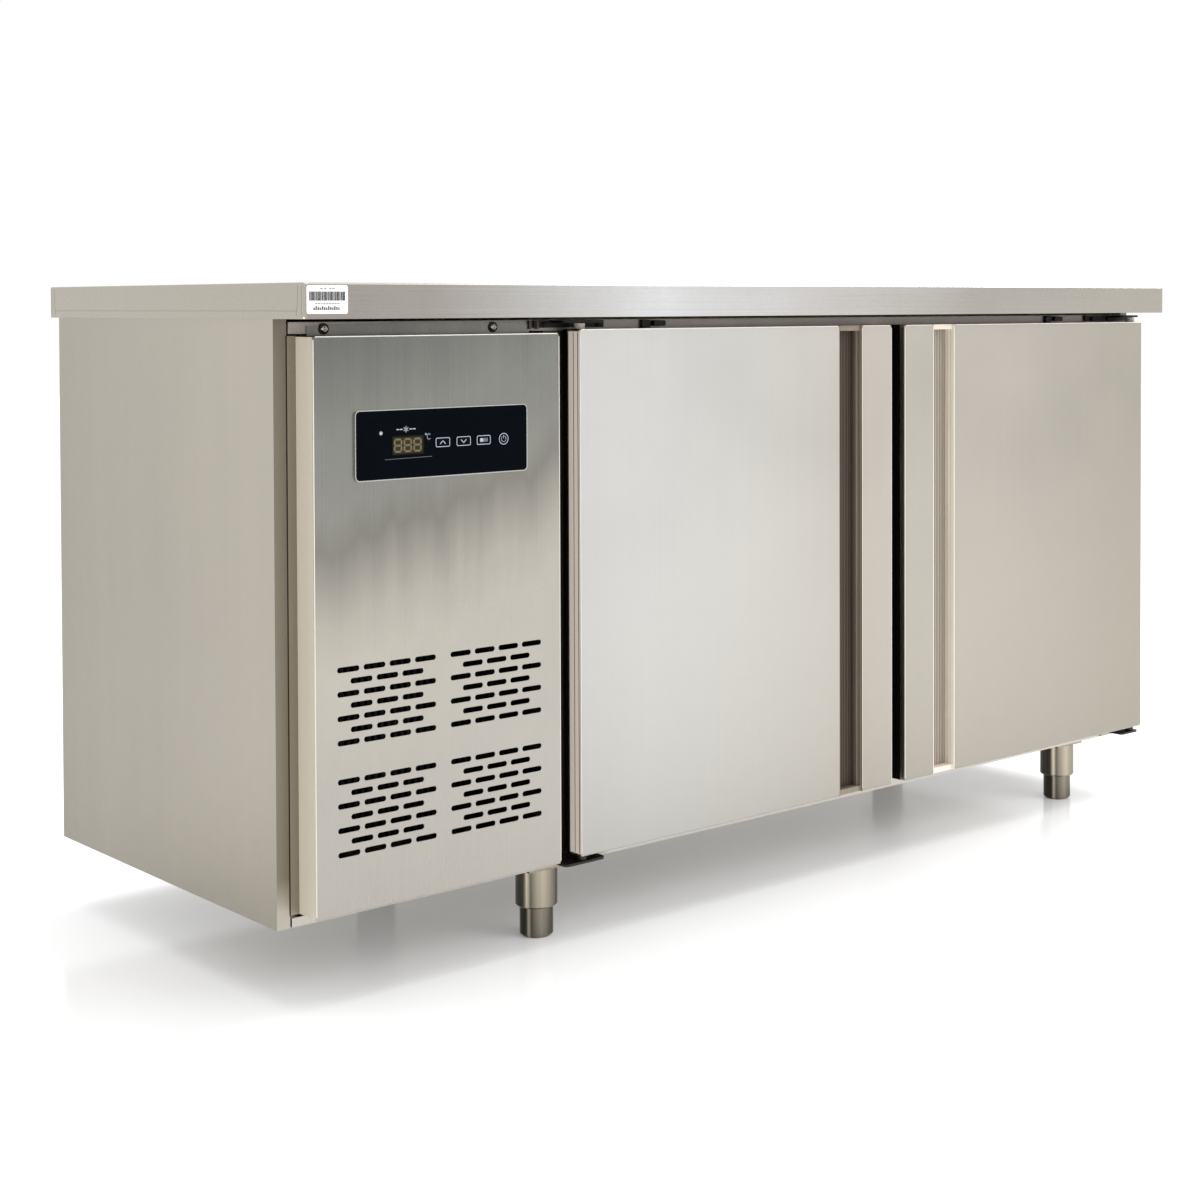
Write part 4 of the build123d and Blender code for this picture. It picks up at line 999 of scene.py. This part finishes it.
def paint_doors():
    """Door skins, with painted reflection and shade along the row and up their height, and the grips, with
    painted shade and light into their depth.
    """
    # Painted shade: both skins darken towards the bottom.
    fade = [(0.10, (0.65, 0.645, 0.63)), (0.36, (0.755, 0.75, 0.74)), (0.72, (0.88, 0.88, 0.88))]
    # Painted reflection: each skin's tone changes along the row, the left door lighter than the right.
    left = [(-0.361, tone(214, 213, 210)), (-0.26, tone(219, 218, 215)), (-0.10, tone(216, 214, 209)),
            (0.06, tone(210, 206, 198)), (0.127, tone(204, 198, 188)), (0.177, tone(206, 200, 190))]
    paint(toned_steel("steel_door_left_painted_reflection", "X", left, 0.36, "Z", 0.025, 0.07, fade=fade), "door_left_skin")
    right = [(0.203, tone(200, 195, 185)), (0.32, tone(202, 196, 186)), (0.50, tone(197, 191, 181)),
             (0.741, tone(188, 182, 170))]
    paint(toned_steel("steel_door_right_painted_reflection", "X", right, 0.36, "Z", 0.025, 0.07, fade=fade), "door_right_skin")
    # Painted shade: the left grip is dark in its groove, with darker lines where its folds crease.
    shaded_grip_tones = [(-0.268, tone(112, 102, 86)), (-0.2665, tone(150, 140, 123)), (-0.2640, tone(142, 132, 116)),
                 (-0.2632, tone(74, 65, 53)), (-0.2622, tone(138, 128, 112)), (-0.2595, tone(132, 122, 106)),
                 (-0.2587, tone(66, 57, 46)), (-0.2577, tone(124, 114, 98)), (-0.2555, tone(112, 103, 88)),
                 (-0.2547, tone(50, 43, 35)), (-0.2535, tone(100, 91, 77)), (-0.2520, tone(76, 67, 55)),
                 (-0.2514, tone(60, 52, 42))]
    paint(toned_steel("steel_grip_left_painted_shade", "Y", shaded_grip_tones, 0.5, "Z", 0.25, 0.06, metallic=0.1),
          "door_left_handle")
    # Painted light: the right grip is light, its groove wall facing the light, with faint darker lines at its
    # folds.
    lit_grip_tones = [(-0.268, tone(242, 233, 220)), (-0.2624, tone(242, 233, 220)),
                  (-0.2616, tone(206, 196, 184)), (-0.2605, tone(244, 235, 222)),
                  (-0.2570, tone(240, 231, 217)), (-0.2562, tone(202, 191, 178)),
                  (-0.2552, tone(236, 226, 211)), (-0.2520, tone(222, 212, 198)),
                  (-0.2514, tone(166, 157, 145))]
    paint(toned_steel("steel_grip_right_painted_light", "Y", lit_grip_tones, 0.5, "Z", 0.10, 0.06, metallic=0.1),
          "door_right_handle")
    # Painted shade: the lower bushes, under the doors, are dark; the upper ones keep their light plastic.
    bush_shade_tones = [(0.0, tone(26, 22, 20)), (0.3, tone(26, 22, 20)), (0.5, tone(205, 200, 190)),
              (0.8, tone(205, 200, 190))]
    paint(toned_steel("bush_plastic_painted_shade", "Z", bush_shade_tones, 0.4, "X", metallic=0.0),
          "door_left_bushes", "door_right_bushes")


def paint_hinges():
    """Dark brackets. The lower ones show a bare steel edge underneath, and their dark above it is painted
    shade from the gap under the door.
    """
    paint(plain("hinge_paint", (0.010, 0.009, 0.009), 0.42, 0.3, gloss=0.3), "hinge_brackets_top")
    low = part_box("hinge_brackets_bottom")[0].z
    stops = [(low, STEEL), (low + 0.0024, STEEL), (low + 0.0034, tone(34, 28, 25)),
             (low + 0.02, tone(30, 25, 22))]
    paint(toned_steel("hinge_low_painted_shade", "Z", stops, 0.4, "X", metallic=0.4), "hinge_brackets_bottom")


def paint_legs():
    """Polished tubes with painted reflections: dark rims, one thin bright streak and a soft band, by the
    angle that they face; the feet take the same bands, darker.
    """
    bands = [(-180, 150), (-130, 70), (-75, 80), (-65, 220), (-55, 100), (-40, 145), (-20, 175), (0, 145),
             (30, 90), (60, 110), (110, 200), (180, 150)]
    sleeve_reflection_bands = [(angle, tone(level, 0.95 * level, 0.85 * level)) for angle, level in bands]
    paint(round_steel("steel_legs_painted_reflection", sleeve_reflection_bands), "leg_sleeves")
    # Painted reflection: the feet repeat the sleeve's bands at a darker level.
    foot = [(angle, tuple(0.62 * part for part in colour)) for angle, colour in sleeve_reflection_bands]
    paint(round_steel("steel_feet_painted_reflection", foot), *[name for name in nodes if name.startswith("foot_")])


def paint_inside():
    """Liners, shelf parts, boards and foam."""
    paint(steel("steel_liner", tone(205, 203, 199), 0.35, "X", 0.03, 0.05),
          "cabinet_liner", "door_left_liner", "door_right_liner")
    paint(steel("steel_uprights", tone(190, 189, 186), 0.3, "Z", 0.04, 0.05), "shelf_uprights", "shelf_clips")
    paint(plain("board", (0.35, 0.24, 0.14), 0.8, speckle=0.3, bump=0.3), "worktop_core")
    paint(plain("foam", (0.72, 0.62, 0.38), 0.85, speckle=0.15, bump=0.3),
          "cabinet_foam", "door_left_foam", "door_right_foam")


def paint_machinery():
    """Cooling circuit, fans and electrical parts."""
    paint(plain("rubber_mounts", (0.02, 0.02, 0.02), 0.7), "compressor_mounts")
    paint(plain("grey_plastic", (0.16, 0.16, 0.165), 0.5), "electrical_box", "power_gland")
    paint(plain("cover_paint", (0.72, 0.72, 0.70), 0.4), "evaporator_cover")
    paint(plain("fins", (0.60, 0.61, 0.62), 0.35, 1.0, speckle=0.15), "evaporator_coil")
    # Painted shade: the condenser coil is made near black, for the shade behind the louvres.
    paint(plain("dark_fins_painted_shade", (0.02, 0.02, 0.021), 0.5, 0.4, speckle=0.2, gloss=0.2), "condenser_coil")
    paint(plain("black_paint", (0.012, 0.012, 0.013), 0.35), "compressor", "condenser_shroud")
    paint(plain("motor_paint", (0.10, 0.10, 0.105), 0.4, 0.5), "condenser_fan_motor", "evaporator_fan_motor")
    paint(plain("fan_metal", (0.5, 0.5, 0.51), 0.3, 1.0), "condenser_fan_blade", "evaporator_fan_blade")
    paint(plain("copper", (0.72, 0.36, 0.20), 0.25, 1.0, speckle=0.12), "copper_pipes", "filter_drier")


make_camera()
make_floor()
make_lights()
for part in (paint_body, paint_service_panel, paint_doors, paint_hinges, paint_legs, paint_inside,
             paint_machinery):
    part()

mark_ink = plain("mark_ink", tone(168, 176, 186), 0.5, gloss=0.1)
control_marks(mark_ink)
key_marks(mark_ink)
parts_label()
screws()
# Painted highlights: glowing materials for the bright beads on the hem, the folds and the edges.
edge_highlight_glow = painted_glow("edge_glint", (0.90, 0.89, 0.86), 0.28)
soft_highlight_glow = painted_glow("soft_highlight_glow", tone(222, 216, 205), 0.08)
worktop_edges(edge_highlight_glow, steel("seam_steel", tone(138, 130, 118), 0.4, "Z"))
door_edge_lines(plain("fold_shadow", tone(60, 52, 46), 0.6, gloss=0.1),
                steel("fold_steel", tone(150, 140, 128), 0.4, "Z"))
painted_edge_highlights(edge_highlight_glow, soft_highlight_glow)
# Painted shade and light: the left grip's steps are dark, the right grip's light.
grip_steps((("left", plain("step_painted_shade", tone(92, 82, 69), 0.5, gloss=0.2)),
            ("right", plain("step_painted_light", tone(142, 133, 121), 0.5, gloss=0.2))))
# Painted light: the panel's and the left door's return facings glow to lighten their shaded recesses; the
# right door's is plain steel.
returns(painted_glow("return_panel_painted_glow", tone(165, 158, 144), 0.8),
        {"left": painted_glow("return_left_painted_glow", tone(190, 180, 169), 0.66),
         "right": steel("return_right", STEEL, 0.34, "Z")})
panel_joint(plain("seam_shadow", tone(34, 28, 23), 0.6, gloss=0.1),
            steel("jamb_steel", tone(150, 143, 130), 0.4, "Z"))
# The dark edge trim is partly painted shade in the gaps behind the door skins.
gaskets(plain("gasket_grey", (0.10, 0.10, 0.102), 0.6),
        plain("edge_black_and_shade", (0.004, 0.0035, 0.0035), 0.55, gloss=0.06))
coated_wire = plain("wire_coating", (0.66, 0.66, 0.64), 0.3, 0.9)
wire_shelf("left", coated_wire)
wire_shelf("right", coated_wire)
cover_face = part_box("evaporator_cover")[1].x
fan_guard("evaporator_guard", cover_face + 0.0005, EVAPORATOR_FAN, GUARD_RADIUS, coated_wire)
frame_details(plain("catch_black", (0.008, 0.007, 0.007), 0.4, gloss=0.3),
              steel("stop_steel", tone(90, 84, 78), 0.4, "Z"))
